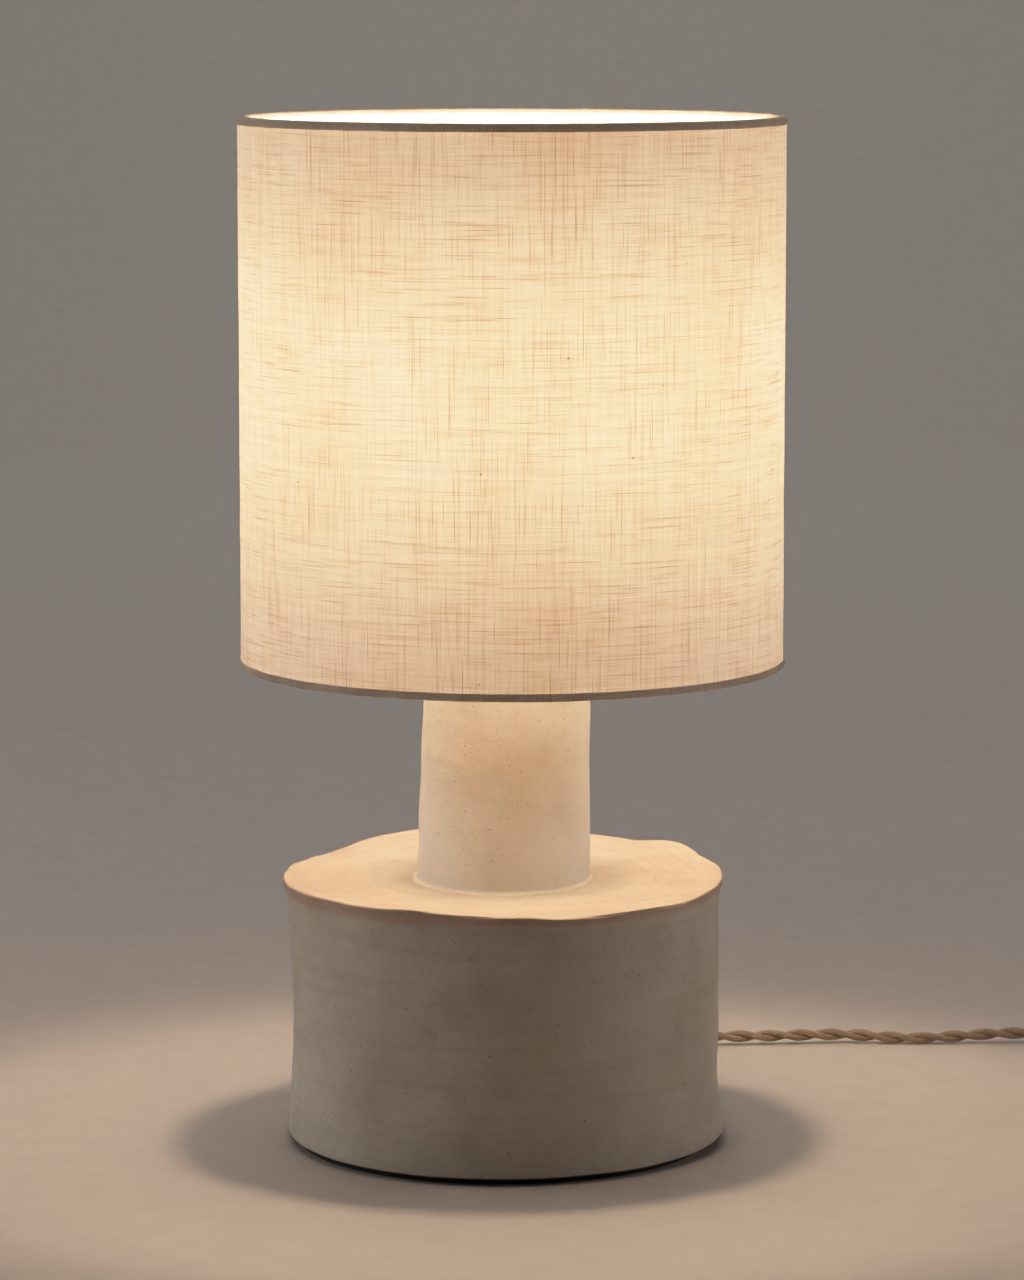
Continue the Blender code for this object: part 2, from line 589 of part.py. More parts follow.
# ---------------------------------------------------------------- the bulb
def bulb(steel, black, brass, opal, white, parent):
    """An A60 bulb with an E27 cap. The glass is open at its neck, inside the cap."""
    profile = [(0, BULB_TIP + 0.0016), (0.0048, BULB_TIP + 0.0016), (0.0048, BULB_TIP + 0.0010)]
    profile += [(0.0030, BULB_TIP), (0, BULB_TIP)]
    solid("bulb_contact", turned(profile, SMALL_SIDES), brass, parent)
    insulator = BULB_TIP + 0.0016 + GAP
    profile = [(0, insulator + 0.0036), (0.0104, insulator + 0.0036), (0.0098, insulator + 0.0020)]
    profile += [(0.0056, insulator), (0, insulator)]
    solid("bulb_insulator", turned(profile, SMALL_SIDES), black, parent)

    cap_low = insulator + 0.0036 + GAP
    cap_high = cap_low + 0.0235
    cap = BULB_CAP_RADIUS
    profile = [(cap - 0.0002, cap_high)]
    thread_count = 3
    for thread in range(thread_count):
        middle = cap_high - 0.0062 - thread * 0.0056
        profile += [(cap - 0.0009, middle + 0.0028), (cap, middle)]
    profile += [(cap - 0.0009, cap_low + 0.0012), (0.0106, cap_low), (0, cap_low)]
    profile += [(0, cap_low + 0.0006), (0.0102, cap_low + 0.0006), (cap - 0.0015, cap_low + 0.0016)]
    profile += [(cap - 0.0015, cap_high - 0.0040), (cap - 0.0006, cap_high - 0.0030), (cap - 0.0006, cap_high)]
    solid("bulb_cap", turned(profile, SMALL_SIDES), steel, parent)

    top = BULB_TIP + BULB_LENGTH
    widest = top - BULB_RADIUS
    glass = 0.0009
    neck = 0.0118
    neck_low = cap_high - 0.0022
    outer = arc(0, widest, BULB_RADIUS, 90, -25, 8)
    last_r, last_z = outer[-1]
    neck_steps = 3
    for step in range(1, neck_steps + 1):
        t = step / neck_steps
        eased = t * t * (3 - 2 * t)
        drop = (last_z - (cap_high + 0.002)) * t
        outer.append((last_r + (neck - last_r) * (0.55 * t + 0.45 * eased), last_z - drop))
    outer.append((neck, neck_low))
    inner = [(max(r - glass, 0), z) for r, z in reversed(outer[1:])]
    inner.append((0, top - glass))
    solid("bulb_glass", turned(outer + inner, SMALL_SIDES), opal, parent, sharp=60)

    stem_low = cap_low + 0.0006 + GAP
    profile = [(0, widest - 0.004), (0.0040, widest - 0.004), (0.0052, widest - 0.0065)]
    profile += [(0.0052, neck_low + 0.012), (0.0095, neck_low + 0.001), (0.0095, stem_low), (0, stem_low)]
    solid("bulb_stem", turned(profile, SMALL_SIDES), white, parent)


# ---------------------------------------------------------------- the shade
def circle(radius, height, steps):
    """Points round a level circle about the shade's axis."""
    points = []
    for step in range(steps):
        angle = math.tau * step / steps
        points.append(Vector((radius * math.cos(angle), radius * math.sin(angle), height)))
    return points


def shade(linen, liner, trim, wire, parent):
    """A linen drum on a liner, with a wire ring in each hem and a fitter ring on three arms."""
    linen_inner = SHADE_RADIUS - LINEN_THICKNESS
    liner_outer = linen_inner - GAP
    liner_inner = liner_outer - LINER_THICKNESS
    edge = HEM_THICKNESS + GAP
    low, high = SHADE_BOTTOM + edge, SHADE_TOP - edge
    solid("shade_linen", turned(band(linen_inner, SHADE_RADIUS, low, high), SHADE_SIDES), linen, parent)
    solid("shade_liner", turned(band(liner_inner, liner_outer, low, high), SHADE_SIDES), liner, parent)

    wire_path = liner_inner - GAP - WIRE_RADIUS
    hem_outer = SHADE_RADIUS + GAP
    hem_inner = wire_path - WIRE_RADIUS - GAP
    rings = {"top": (SHADE_TOP, -1), "bottom": (SHADE_BOTTOM, 1)}
    for side, (level, inward) in rings.items():
        wire_level = level + inward * (edge + WIRE_RADIUS)
        flex(f"{side}_wire_ring", circle(wire_path, wire_level, SHADE_SIDES), WIRE_RADIUS, wire, parent, 1, True)
        outer_leg = level + inward * HEM_HEIGHT
        inner_leg = wire_level
        profile = [
            (hem_outer, outer_leg),
            (hem_outer + HEM_THICKNESS, outer_leg),
            (hem_outer + HEM_THICKNESS, level),
            (hem_inner - HEM_THICKNESS, level),
            (hem_inner - HEM_THICKNESS, inner_leg),
            (hem_inner, inner_leg),
            (hem_inner, level + inward * HEM_THICKNESS),
            (hem_outer, level + inward * HEM_THICKNESS),
        ]
        solid(f"{side}_hem", turned(profile, SHADE_SIDES), trim, parent)

    # The linen's end, folded and glued over its start, up the back.
    seam_half = 0.0055
    seam_low, seam_high = SHADE_BOTTOM + HEM_HEIGHT + GAP, SHADE_TOP - HEM_HEIGHT - GAP
    outline = []
    columns = 6
    for radius, steps in ((SHADE_RADIUS + GAP + 0.0004, range(columns + 1)), (SHADE_RADIUS + GAP, None)):
        for step in steps or range(columns, -1, -1):
            angle = math.pi / 2 + (seam_half / SHADE_RADIUS) * (2 * step / columns - 1)
            outline.append((radius * math.cos(angle), radius * math.sin(angle)))
    solid("back_seam", prism(outline, seam_low, seam_high), linen, parent)

    fitter_outer = 0.0285
    profile = band(HOLDER_SHELL_RADIUS + FREE, fitter_outer, FITTER_LOW, FITTER_HIGH)
    solid("fitter_ring", turned(profile, SMALL_SIDES), wire, parent)
    fitter_middle = (FITTER_LOW + FITTER_HIGH) / 2
    for number, azimuth in enumerate(ARM_AZIMUTHS, 1):
        out = Vector((math.cos(math.radians(azimuth)), math.sin(math.radians(azimuth)), 0))
        start = out * (fitter_outer + 0.0012) + Vector((0, 0, fitter_middle))
        knee = out * (fitter_outer + 0.0100) + Vector((0, 0, fitter_middle - 0.0010))
        end_level = SHADE_BOTTOM + edge + 2 * WIRE_RADIUS + GAP + ARM_RADIUS
        foot_point = out * (hem_inner - 0.0100) + Vector((0, 0, end_level + 0.0018))
        end = out * (wire_path - 0.0004) + Vector((0, 0, end_level + 0.0002))
        points = smooth_route([start, knee, foot_point, end], 0.009)
        flex(f"fitter_arm_{number}", points, ARM_RADIUS, wire, parent, 1)


# ---------------------------------------------------------------- the free cord and what is on it
def free_cord(flex_finish, tie_finish, parent):
    """The cord's run to the switch, its coil with two ties, and the leads on either side of the coil."""
    run = smooth_route(CORD_ROUTE, 0.0145)
    flex("cord_to_switch", run, CORD_RADIUS, flex_finish, parent)
    switch_front = SWITCH_BACK - SWITCH_LENGTH
    # A straight lead meets the coil's round side where its surface is a gap away from it.
    lead_reach = math.sqrt((COIL_OUTER + GAP + CORD_RADIUS) ** 2 - (LEAD_X - COIL_CENTRE.x) ** 2)
    coil_back = COIL_CENTRE.y + lead_reach
    coil_front = COIL_CENTRE.y - lead_reach
    middle = (switch_front + coil_back) / 2
    route = [
        (LEAD_X, switch_front - GAP, SWITCH_CORD_HEIGHT),
        (LEAD_X, middle, 0.0068),
        (LEAD_X, coil_back, 0.0050),
    ]
    flex("cord_to_coil", smooth_route(route, 0.012), CORD_RADIUS, flex_finish, parent)

    profile = arc(COIL_OUTER - 0.0030, COIL_HIGH - 0.0030, 0.0030, 90, 0, 1)
    profile += arc(COIL_OUTER - 0.0030, COIL_LOW + 0.0030, 0.0030, 0, -90, 1)
    profile += arc(COIL_INNER + 0.0030, COIL_LOW + 0.0030, 0.0030, -90, -180, 1)
    profile += arc(COIL_INNER + 0.0030, COIL_HIGH - 0.0030, 0.0030, 180, 90, 1)
    solid("cord_coil", turned(profile, 36), flex_finish, parent, COIL_CENTRE)

    for number, azimuth in enumerate((60, 240), 1):
        angle = math.radians(azimuth)
        inner_side = rounded_rectangle((0, 0), *tie_size(GAP), 0.0030)
        outer_side = rounded_rectangle((0, 0), *tie_size(GAP + TIE_THICKNESS), 0.0040)
        shape = prism(outer_side, -0.004, 0.004)
        bmesh.ops.rotate(shape, verts=shape.verts, matrix=Matrix.Rotation(math.radians(90), 3, "X"))
        middle_radius = (COIL_INNER + COIL_OUTER) / 2
        centre = COIL_CENTRE + Vector((middle_radius * math.cos(angle), middle_radius * math.sin(angle), 0))
        centre.z = (COIL_LOW + COIL_HIGH) / 2
        tie = solid(f"coil_tie_{number}", shape, tie_finish, parent, centre, (0, 0, angle))
        hole = prism(inner_side, -0.006, 0.006)
        turn = Matrix.Translation(centre) @ Matrix.Rotation(angle, 4, "Z") @ Matrix.Rotation(math.pi / 2, 4, "X")
        bmesh.ops.transform(hole, matrix=turn, verts=hole.verts)
        cut(tie, f"tie_cutter_{number}", hole)

    route = [
        (LEAD_X, coil_front, 0.0100),
        (LEAD_X, (coil_front + PLUG_RELIEF_Y) / 2, 0.0082),
        (LEAD_X, PLUG_RELIEF_Y + GAP, PLUG_CORD_HEIGHT),
    ]
    flex("cord_to_plug", smooth_route(route, 0.012), CORD_RADIUS, flex_finish, parent)


def tie_size(out):
    """The width and the height of a tie's loop that is a distance outside the coil's turns."""
    bulge = 0.0008  # the turns curve away inside the tie's own width
    return COIL_OUTER - COIL_INNER + 2 * (out + bulge), COIL_HIGH - COIL_LOW + 2 * out


def rocker_switch(plastic, brass, steel, parent, rocker_parent):
    """A two-part housing with a rocker on an axle, two terminals and a spring leaf between them."""
    centre = (LEAD_X, SWITCH_BACK - SWITCH_LENGTH / 2)
    outer = rounded_rectangle(centre, SWITCH_WIDTH, SWITCH_LENGTH, 0.0090)
    inner_size = (SWITCH_WIDTH - 2 * SWITCH_WALL, SWITCH_LENGTH - 2 * SWITCH_WALL)
    inner = rounded_rectangle(centre, *inner_size, 0.0074)
    housings = {
        "switch_base": (0.0, SWITCH_SPLIT, SWITCH_WALL, SWITCH_SPLIT + 0.01),
        "switch_cover": (SWITCH_SPLIT + GAP, SWITCH_TOP, SWITCH_SPLIT - 0.01, SWITCH_TOP - SWITCH_WALL),
    }
    made = {}
    for name, (low, high, hollow_low, hollow_high) in housings.items():
        made[name] = solid(name, prism(outer, low, high), plastic, parent)
        bevel(made[name], 0.0010)
        cut(made[name], f"{name}_hollow", prism(inner, hollow_low, hollow_high))
        bore = rod(CORD_RADIUS + GAP, SWITCH_LENGTH + 0.02, (*centre, SWITCH_CORD_HEIGHT), (0, 1, 0))
        cut(made[name], f"{name}_bore", bore)
    opening = rounded_rectangle(centre, 0.0120, 0.0236, 0.0010)
    cut(made["switch_cover"], "rocker_opening", prism(opening, SWITCH_SPLIT, SWITCH_TOP + 0.01))

    for number, side in enumerate((-1, 1), 1):
        at = (centre[0], centre[1] + side * 0.0240)
        terminal = solid(f"switch_terminal_{number}", block((*at, 0.0037), (0.0080, 0.0060, 0.0036)), brass, parent)
        bevel(terminal, 0.0003, 1)
        post = block((centre[0] + side * 0.0070, centre[1], 0.0073), (0.0014, 0.0040, 0.0108))
        bearing = solid(f"rocker_bearing_{number}", post, plastic, parent)
        cut(bearing, f"bearing_cutter_{number}", axle_rod(centre, 0.0018, 0.020))

    outline = [(-0.0180, 0), (0.0180, 0), (0.0180, 0.0004), (0.0060, 0.0004), (0.0015, 0.0030)]
    outline += [(-0.0015, 0.0030), (-0.0060, 0.0004), (-0.0180, 0.0004)]
    shape = prism(outline, -0.0025, 0.0025)
    turn = Matrix.Rotation(math.pi / 2, 4, "Z") @ Matrix.Rotation(math.pi / 2, 4, "X")
    bmesh.ops.transform(shape, matrix=turn, verts=shape.verts)
    solid("switch_leaf", shape, brass, parent, (*centre, 0.0060))

    # The rocker's top is a shallow V, so that one end stands up and the other lies level.
    outline = [(-0.0112, -0.0030), (-0.0030, -0.0048), (0.0030, -0.0048), (0.0112, -0.0030)]
    outline += [(0.0112, 0.0052), (0.0040, 0.0044), (-0.0040, 0.0044), (-0.0112, 0.0052)]
    shape = prism(outline, -0.0054, 0.0054)
    bmesh.ops.transform(shape, matrix=turn, verts=shape.verts)
    pivot = (*centre, ROCKER_PIVOT_HEIGHT)
    rocker = solid("switch_rocker", shape, plastic, rocker_parent, pivot, (ROCKER_TILT, 0, 0))
    axle = axle_rod((0, 0), 0.0014, 0.0156)
    bmesh.ops.translate(axle, verts=axle.verts, vec=(0, 0, -ROCKER_PIVOT_HEIGHT))
    mesh = bpy.data.meshes.new("rocker_axle")
    axle.to_mesh(mesh)
    axle.free()
    joined = bpy.data.objects.new("rocker_axle", mesh)
    bpy.context.collection.objects.link(joined)
    joined.location = pivot
    joined.hide_render = True
    joined.display_type = "WIRE"
    modifier = rocker.modifiers.new("axle", "BOOLEAN")
    modifier.object = joined
    modifier.operation = "UNION"
    modifier.solver = "EXACT"
    for number, side in enumerate((-1, 1), 1):
        at = (centre[0], centre[1] + side * 0.0185)
        screw(f"switch_screw_{number}", 0.0024, 0.0014, 0.0012, 0.0060, steel, parent, (*at, SWITCH_TOP + GAP))
        hole = rod(0.0016, 0.01, (*at, SWITCH_TOP), (0, 0, 1), 16)
        cut(made["switch_cover"], f"switch_screw_hole_{number}", hole)


def axle_rod(centre, radius, length):
    """A round bar along X, at the height of the rocker's pivot."""
    return rod(radius, length, (*centre, ROCKER_PIVOT_HEIGHT), (1, 0, 0), 16)


def plug(plastic, rubber, brass, parent):
    """A flat two-pin plug, lying on its broad side, with a tapered strain relief on its cord end."""
    relief_end = PLUG_RELIEF_Y - PLUG_RELIEF_LENGTH
    bore = CORD_RADIUS + GAP
    profile = [(bore, 0), (0.0040, 0), (0.0052, -PLUG_RELIEF_LENGTH), (bore, -PLUG_RELIEF_LENGTH)]
    middle = (LEAD_X, PLUG_RELIEF_Y, PLUG_CORD_HEIGHT)
    solid("plug_strain_relief", turned(profile, SMALL_SIDES), rubber, parent, middle, (math.radians(-90), 0, 0))

    back = relief_end - GAP
    front = back - PLUG_BODY_LENGTH
    half_outline = [(0.0070, back), (0.0095, back - 0.0070), (0.0165, back - 0.0200)]
    half_outline += [(0.0176, back - 0.0240), (0.0176, front + 0.0060), (0.0135, front)]
    outline = [(LEAD_X - x, y) for x, y in half_outline]
    outline += [(LEAD_X + x, y) for x, y in reversed(half_outline)]
    body = solid("plug_body", prism(outline, 0.0, PLUG_THICKNESS), plastic, parent)
    bevel(body, 0.0020, 3)
    pin_buried = 0.0060
    for number, side in enumerate((-1, 1), 1):
        at = (LEAD_X + side * PIN_SPACING / 2, front, PLUG_CORD_HEIGHT)
        profile = [(0, pin_buried), (0.0019, pin_buried), (0.0019, -0.0100), (0.0020, -0.0102)]
        profile += [(0.0020, -PIN_LENGTH + 0.0012), (0.0012, -PIN_LENGTH), (0, -PIN_LENGTH)]
        solid(f"plug_pin_{number}", turned(profile, 16), brass, parent, at, (math.radians(-90), 0, 0))
        socket = rod(0.0019 + GAP, 2 * (pin_buried + GAP), at, (0, 1, 0), 16)
        cut(body, f"pin_socket_{number}", socket)


def main():
    clear_scene()
    clay = material("clay", (0.62, 0.55, 0.45), 0.85)
    felt = material("felt", (0.02, 0.02, 0.02), 0.95)
    board = material("board", (0.05, 0.045, 0.04), 0.80)
    linen = material("linen", (0.80, 0.70, 0.58), 0.90)
    liner = material("liner", (0.90, 0.88, 0.84), 0.55)
    trim = material("trim", (0.55, 0.48, 0.40), 0.90)
    white_wire = material("white_wire", (0.85, 0.85, 0.83), 0.40)
    white_plastic = material("white_plastic", (0.85, 0.84, 0.80), 0.35)
    steatite = material("steatite", (0.80, 0.79, 0.75), 0.60)
    black_glass = material("black_glass", (0.02, 0.02, 0.025), 0.20)
    opal_glass = material("opal_glass", (0.95, 0.93, 0.88), 0.30)
    textile_cord = material("textile_cord", (0.60, 0.47, 0.36), 0.90)
    steel = material("zinc_steel", (0.65, 0.65, 0.66), 0.35, 1.0)
    brass = material("brass", (0.75, 0.58, 0.30), 0.35, 1.0)

    base = empty("base", (0, 0, 0))
    shade_turn = empty("shade_turn", (0, 0, FITTER_LOW))
    ring_turn = empty("ring_turn", (0, 0, FITTER_HIGH))
    bulb_turn = empty("bulb_turn", (0, 0, BULB_TIP))
    switch_middle = SWITCH_BACK - SWITCH_LENGTH / 2
    rocker_turn = empty("rocker_turn", (LEAD_X, switch_middle, ROCKER_PIVOT_HEIGHT))

    clay_body(clay, base)
    foot(felt, board, steel, base)
    cord_gland(white_plastic, base)
    inner_cord(textile_cord, base)
    tube_and_nuts(steel, base)
    lampholder(white_plastic, steatite, brass, steel, base)
    shade_ring(white_plastic, ring_turn)
    bulb(steel, black_glass, brass, opal_glass, steatite, bulb_turn)
    shade(linen, liner, trim, white_wire, shade_turn)
    free_cord(textile_cord, felt, base)
    rocker_switch(white_plastic, brass, steel, base, rocker_turn)
    plug(white_plastic, white_plastic, brass, base)


main()
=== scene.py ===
import json
import math

import bmesh
import bpy
from mathutils import Matrix, Vector, noise


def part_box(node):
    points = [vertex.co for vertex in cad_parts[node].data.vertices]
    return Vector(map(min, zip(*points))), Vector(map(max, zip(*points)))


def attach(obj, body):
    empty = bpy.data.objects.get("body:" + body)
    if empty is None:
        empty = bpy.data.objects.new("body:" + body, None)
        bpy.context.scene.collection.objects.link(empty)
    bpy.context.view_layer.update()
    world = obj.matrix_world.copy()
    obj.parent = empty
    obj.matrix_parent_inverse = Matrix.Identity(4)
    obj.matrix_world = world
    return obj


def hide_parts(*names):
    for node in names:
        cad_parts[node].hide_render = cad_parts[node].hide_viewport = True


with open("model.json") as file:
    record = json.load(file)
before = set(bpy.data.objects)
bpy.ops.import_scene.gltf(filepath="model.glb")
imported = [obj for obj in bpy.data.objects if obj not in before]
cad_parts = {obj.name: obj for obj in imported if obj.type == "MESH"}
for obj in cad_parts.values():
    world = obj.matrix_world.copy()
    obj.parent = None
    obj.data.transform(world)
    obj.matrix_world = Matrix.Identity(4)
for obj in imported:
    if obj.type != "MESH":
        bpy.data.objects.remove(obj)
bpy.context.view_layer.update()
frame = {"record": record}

# ---- places, from the frame
def heights(node):
    """The lowest and the highest point of a CAD node."""
    low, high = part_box(node)
    return low[2], high[2]


SHADE_LOW, SHADE_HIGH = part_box("shade_linen")
SHADE_RADIUS = (SHADE_HIGH[0] - SHADE_LOW[0]) / 2
HEM_LOW, HEM_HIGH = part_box("bottom_hem")[0][2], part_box("top_hem")[1][2]
HEM_INNER = 0.1204
WIRE_PATH = 0.1223
WIRE_RADIUS = 0.0012
SEAM_LOW, SEAM_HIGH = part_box("back_seam")
BULB_LOW, BULB_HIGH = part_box("bulb_glass")
BULB_RADIUS = 0.0300
BULB_CENTRE = Vector((0, 0, BULB_HIGH[2] - BULB_RADIUS))
FELT_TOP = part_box("felt_foot")[1][2]
COIL_LOW, COIL_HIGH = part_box("cord_coil")
SWITCH_LOW, SWITCH_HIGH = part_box("switch_base")
PLUG_LOW, PLUG_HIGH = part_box("plug_body")
RELIEF_LOW, RELIEF_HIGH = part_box("plug_strain_relief")

# ---- the clay, as in the CAD source
DRUM_RADIUS = 0.1000
LIP_RADIUS = 0.1015
CLAY_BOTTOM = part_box("ceramic_body")[0][2]
DISC_TOP = 0.1230
NECK_RADIUS = 0.0392
NECK_TOP = 0.2400
CLAY_WALL = 0.0075
DRUM_OFF_AXIS = -0.0044
NECK_TOP_OFF_AXIS = -0.0022
TUBE_HOLE = 0.00545
CORD_HOLE_HEIGHT = 0.0155

# ---- what the look adds: a skirt outside the felt, and a corner at the right that curls up
SKIRT_BOTTOM = CLAY_BOTTOM - 0.0009
FELT_RADIUS = 0.0950
CURL_RISE = 0.0048
CURL_REACH = 0.38

# ---- the cord, as in the CAD source
CORD_DIAMETER = 0.0062
CORD_RADIUS = CORD_DIAMETER / 2
STRAND_RADIUS = 0.00162
TWIST_PITCH = 0.031
GAP = 0.0003
COIL_CENTRE = Vector(((COIL_LOW[0] + COIL_HIGH[0]) / 2, (COIL_LOW[1] + COIL_HIGH[1]) / 2, 0))
COIL_TURNS = 5
TURN_PITCH = 0.0064
COIL_OUTER_TURN = (COIL_HIGH[0] - COIL_LOW[0]) / 2 - CORD_RADIUS
COIL_INNER = 0.0261
LEAD_X = COIL_CENTRE.x + COIL_OUTER_TURN
LOWER_LAYER = COIL_LOW[2] + CORD_RADIUS
UPPER_LAYER = LOWER_LAYER + TURN_PITCH
SWITCH_BACK = SWITCH_HIGH[1]
SWITCH_FRONT = SWITCH_LOW[1]
SWITCH_CORD_HEIGHT = 0.0085
INTO_SWITCH = 0.004
ROCKER_PIVOT = Vector((LEAD_X, (SWITCH_BACK + SWITCH_FRONT) / 2, 0.0148))
ROCKER_TILT = math.radians(7)
PLUG_CORD_HEIGHT = (RELIEF_LOW[2] + RELIEF_HIGH[2]) / 2
TIE_AZIMUTHS = (60, 240)
CORD_EXIT = (DRUM_OFF_AXIS, 0.1235, CORD_HOLE_HEIGHT)
CORD_ROUTE = [
    CORD_EXIT,
    (-0.0042, 0.1375, 0.0152),
    (0.0005, 0.1550, 0.0140),
    (0.0120, 0.1720, 0.0122),
    (0.0300, 0.1860, 0.0099),
    (0.0540, 0.1945, 0.0074),
    (0.0820, 0.1968, 0.0056),
    (0.1100, 0.1975, 0.0048),
    (0.1400, 0.2003, 0.0047),
    (0.1685, 0.2030, 0.0046),
    (0.2000, 0.2012, 0.0032),
    (0.2240, 0.2020, 0.0038),
    (0.2480, 0.2038, 0.0050),
    (0.2680, 0.2045, 0.0046),
    (0.2860, 0.2038, 0.0038),
    (0.3038, 0.2020, 0.0037),
    (0.3195, 0.1988, 0.0044),
    (0.3329, 0.1897, 0.0058),
    (0.3420, 0.1761, 0.0074),
    (LEAD_X, SWITCH_BACK + GAP, SWITCH_CORD_HEIGHT),
]


# ---- tools for node materials
def tone(red, green, blue):
    """A colour as the eye sees it, from 0 to 255, in the linear values that shaders take."""
    values = []
    for part in (red, green, blue):
        share = part / 255
        values.append(share / 12.92 if share <= 0.04045 else ((share + 0.055) / 1.055) ** 2.4)
    return (*values, 1.0)


class Finish:
    """A material and short ways to add nodes to it; a colour is given as the eye sees it, from 0 to 255."""

    def __init__(self, name):
        self.material = bpy.data.materials.new(name)
        self.material.use_nodes = True
        self.tree = self.material.node_tree
        self.tree.nodes.clear()
        self.output = self.tree.nodes.new("ShaderNodeOutputMaterial")

    def node(self, kind, inputs=None, **settings):
        made = self.tree.nodes.new("ShaderNode" + kind)
        for key, value in settings.items():
            setattr(made, key, value)
        for key, value in (inputs or {}).items():
            self.feed(made.inputs[key], value)
        return made

    def feed(self, socket, value):
        if isinstance(value, bpy.types.NodeSocket):
            self.tree.links.new(value, socket)
        else:
            socket.default_value = tone(*value) if socket.type == "RGBA" else value

    def maths(self, operation, *values):
        made = self.node("Math", operation=operation)
        for socket, value in zip(made.inputs, values):
            self.feed(socket, value)
        return made.outputs[0]

    def times(self, first, second):
        return self.maths("MULTIPLY", first, second)

    def over(self, first, second):
        return self.maths("DIVIDE", first, second)

    def plus(self, first, second):
        return self.maths("ADD", first, second)

    def minus(self, first, second):
        return self.maths("SUBTRACT", first, second)

    def length(self, x, y):
        return self.maths("SQRT", self.plus(self.times(x, x), self.times(y, y)))

    def vector(self, x, y, z=0.0):
        return self.node("CombineXYZ", {"X": x, "Y": y, "Z": z}).outputs[0]

    def noise(self, vector, scale=1.0, detail=2.0, roughness=0.5):
        inputs = {"Vector": vector, "Scale": scale, "Detail": detail, "Roughness": roughness}
        return self.node("TexNoise", inputs).outputs["Fac"]

    def smooth(self, value, low, high, out_low=0.0, out_high=1.0):
        """A soft step from out_low to out_high while the value goes from low to high."""
        inputs = {
            "Value": value, "From Min": low, "From Max": high, "To Min": out_low, "To Max": out_high,
        }
        return self.node("MapRange", inputs, interpolation_type="SMOOTHSTEP").outputs[0]

    def mix(self, share, first, second, blend="MIX"):
        made = self.node("Mix", data_type="RGBA", blend_type=blend)
        self.feed(made.inputs[0], share)
        self.feed(made.inputs[6], first)
        self.feed(made.inputs[7], second)
        return made.outputs[2]

    def dots(self, vector, scale, size, rarity):
        """Small round dots in some of the cells of a pattern: 1 inside a dot and 0 outside it."""
        cells = self.node("TexVoronoi", {"Vector": vector, "Scale": scale}, feature="F1")
        rare = self.node("SeparateColor", {"Color": cells.outputs["Color"]}).outputs[0]
        inside = self.smooth(cells.outputs["Distance"], size, size * 0.6)
        return self.times(inside, self.maths("GREATER_THAN", rare, rarity))

    def bump(self, height, strength, distance):
        inputs = {"Height": height, "Strength": strength, "Distance": distance}
        return self.node("Bump", inputs).outputs[0]

    def place(self):
        """The piece's own coordinates, and its x, y and z."""
        own = self.node("TexCoord").outputs["Object"]
        return own, *self.node("SeparateXYZ", {"Vector": own}).outputs

    def unrolled(self, radius):
        """Metres round a turned piece from its front, metres up it, and its own coordinates."""
        own, x, y, z = self.place()
        angle = self.maths("ARCTAN2", x, self.times(y, -1.0))
        return self.times(angle, radius), z, own

    def shade(self, shader):
        self.tree.links.new(shader, self.output.inputs["Surface"])
        return self.material

    def principled(self, colour, roughness, normal=None, **values):
        inputs = {"Base Color": colour, "Roughness": roughness}
        inputs.update({key.replace("_", " "): value for key, value in values.items()})
        if normal is not None:
            inputs["Normal"] = normal
        return self.node("BsdfPrincipled", inputs).outputs[0]

    def lit_through(self, share, cloth, clear):
        """The finished material of a cloth that light comes through."""
        behind = self.node("BsdfTranslucent", {"Color": clear}).outputs[0]
        return self.shade(self.node("MixShader", {0: share, 1: cloth, 2: behind}).outputs[0])

    def surface(self, colour, roughness, relief, strength, distance, **values):
        """The finished material: a principled shader with a height pattern over it."""
        return self.shade(self.principled(colour, roughness, self.bump(relief, strength, distance), **values))


THREAD_PITCH = 0.00050


def threads(made, across, along, run, seed):
    """Threads of one direction: each one's ridge, and the thick slubs that come and go along it."""
    counted = made.over(across, THREAD_PITCH)
    index = made.maths("FLOOR", counted)
    off_middle = made.maths("ABSOLUTE", made.minus(made.minus(counted, index), 0.5))
    ridge = made.smooth(off_middle, 0.5, 0.1)
    spot = made.vector(made.over(along, run), made.times(index, 3.737), seed)
    slub = made.maths("POWER", made.smooth(made.noise(spot, 1.0, 2.0), 0.47, 0.74), 1.5)
    own_tint = made.node("TexWhiteNoise", {"W": made.plus(index, seed)}, noise_dimensions="1D").outputs[0]
    return ridge, slub, own_tint


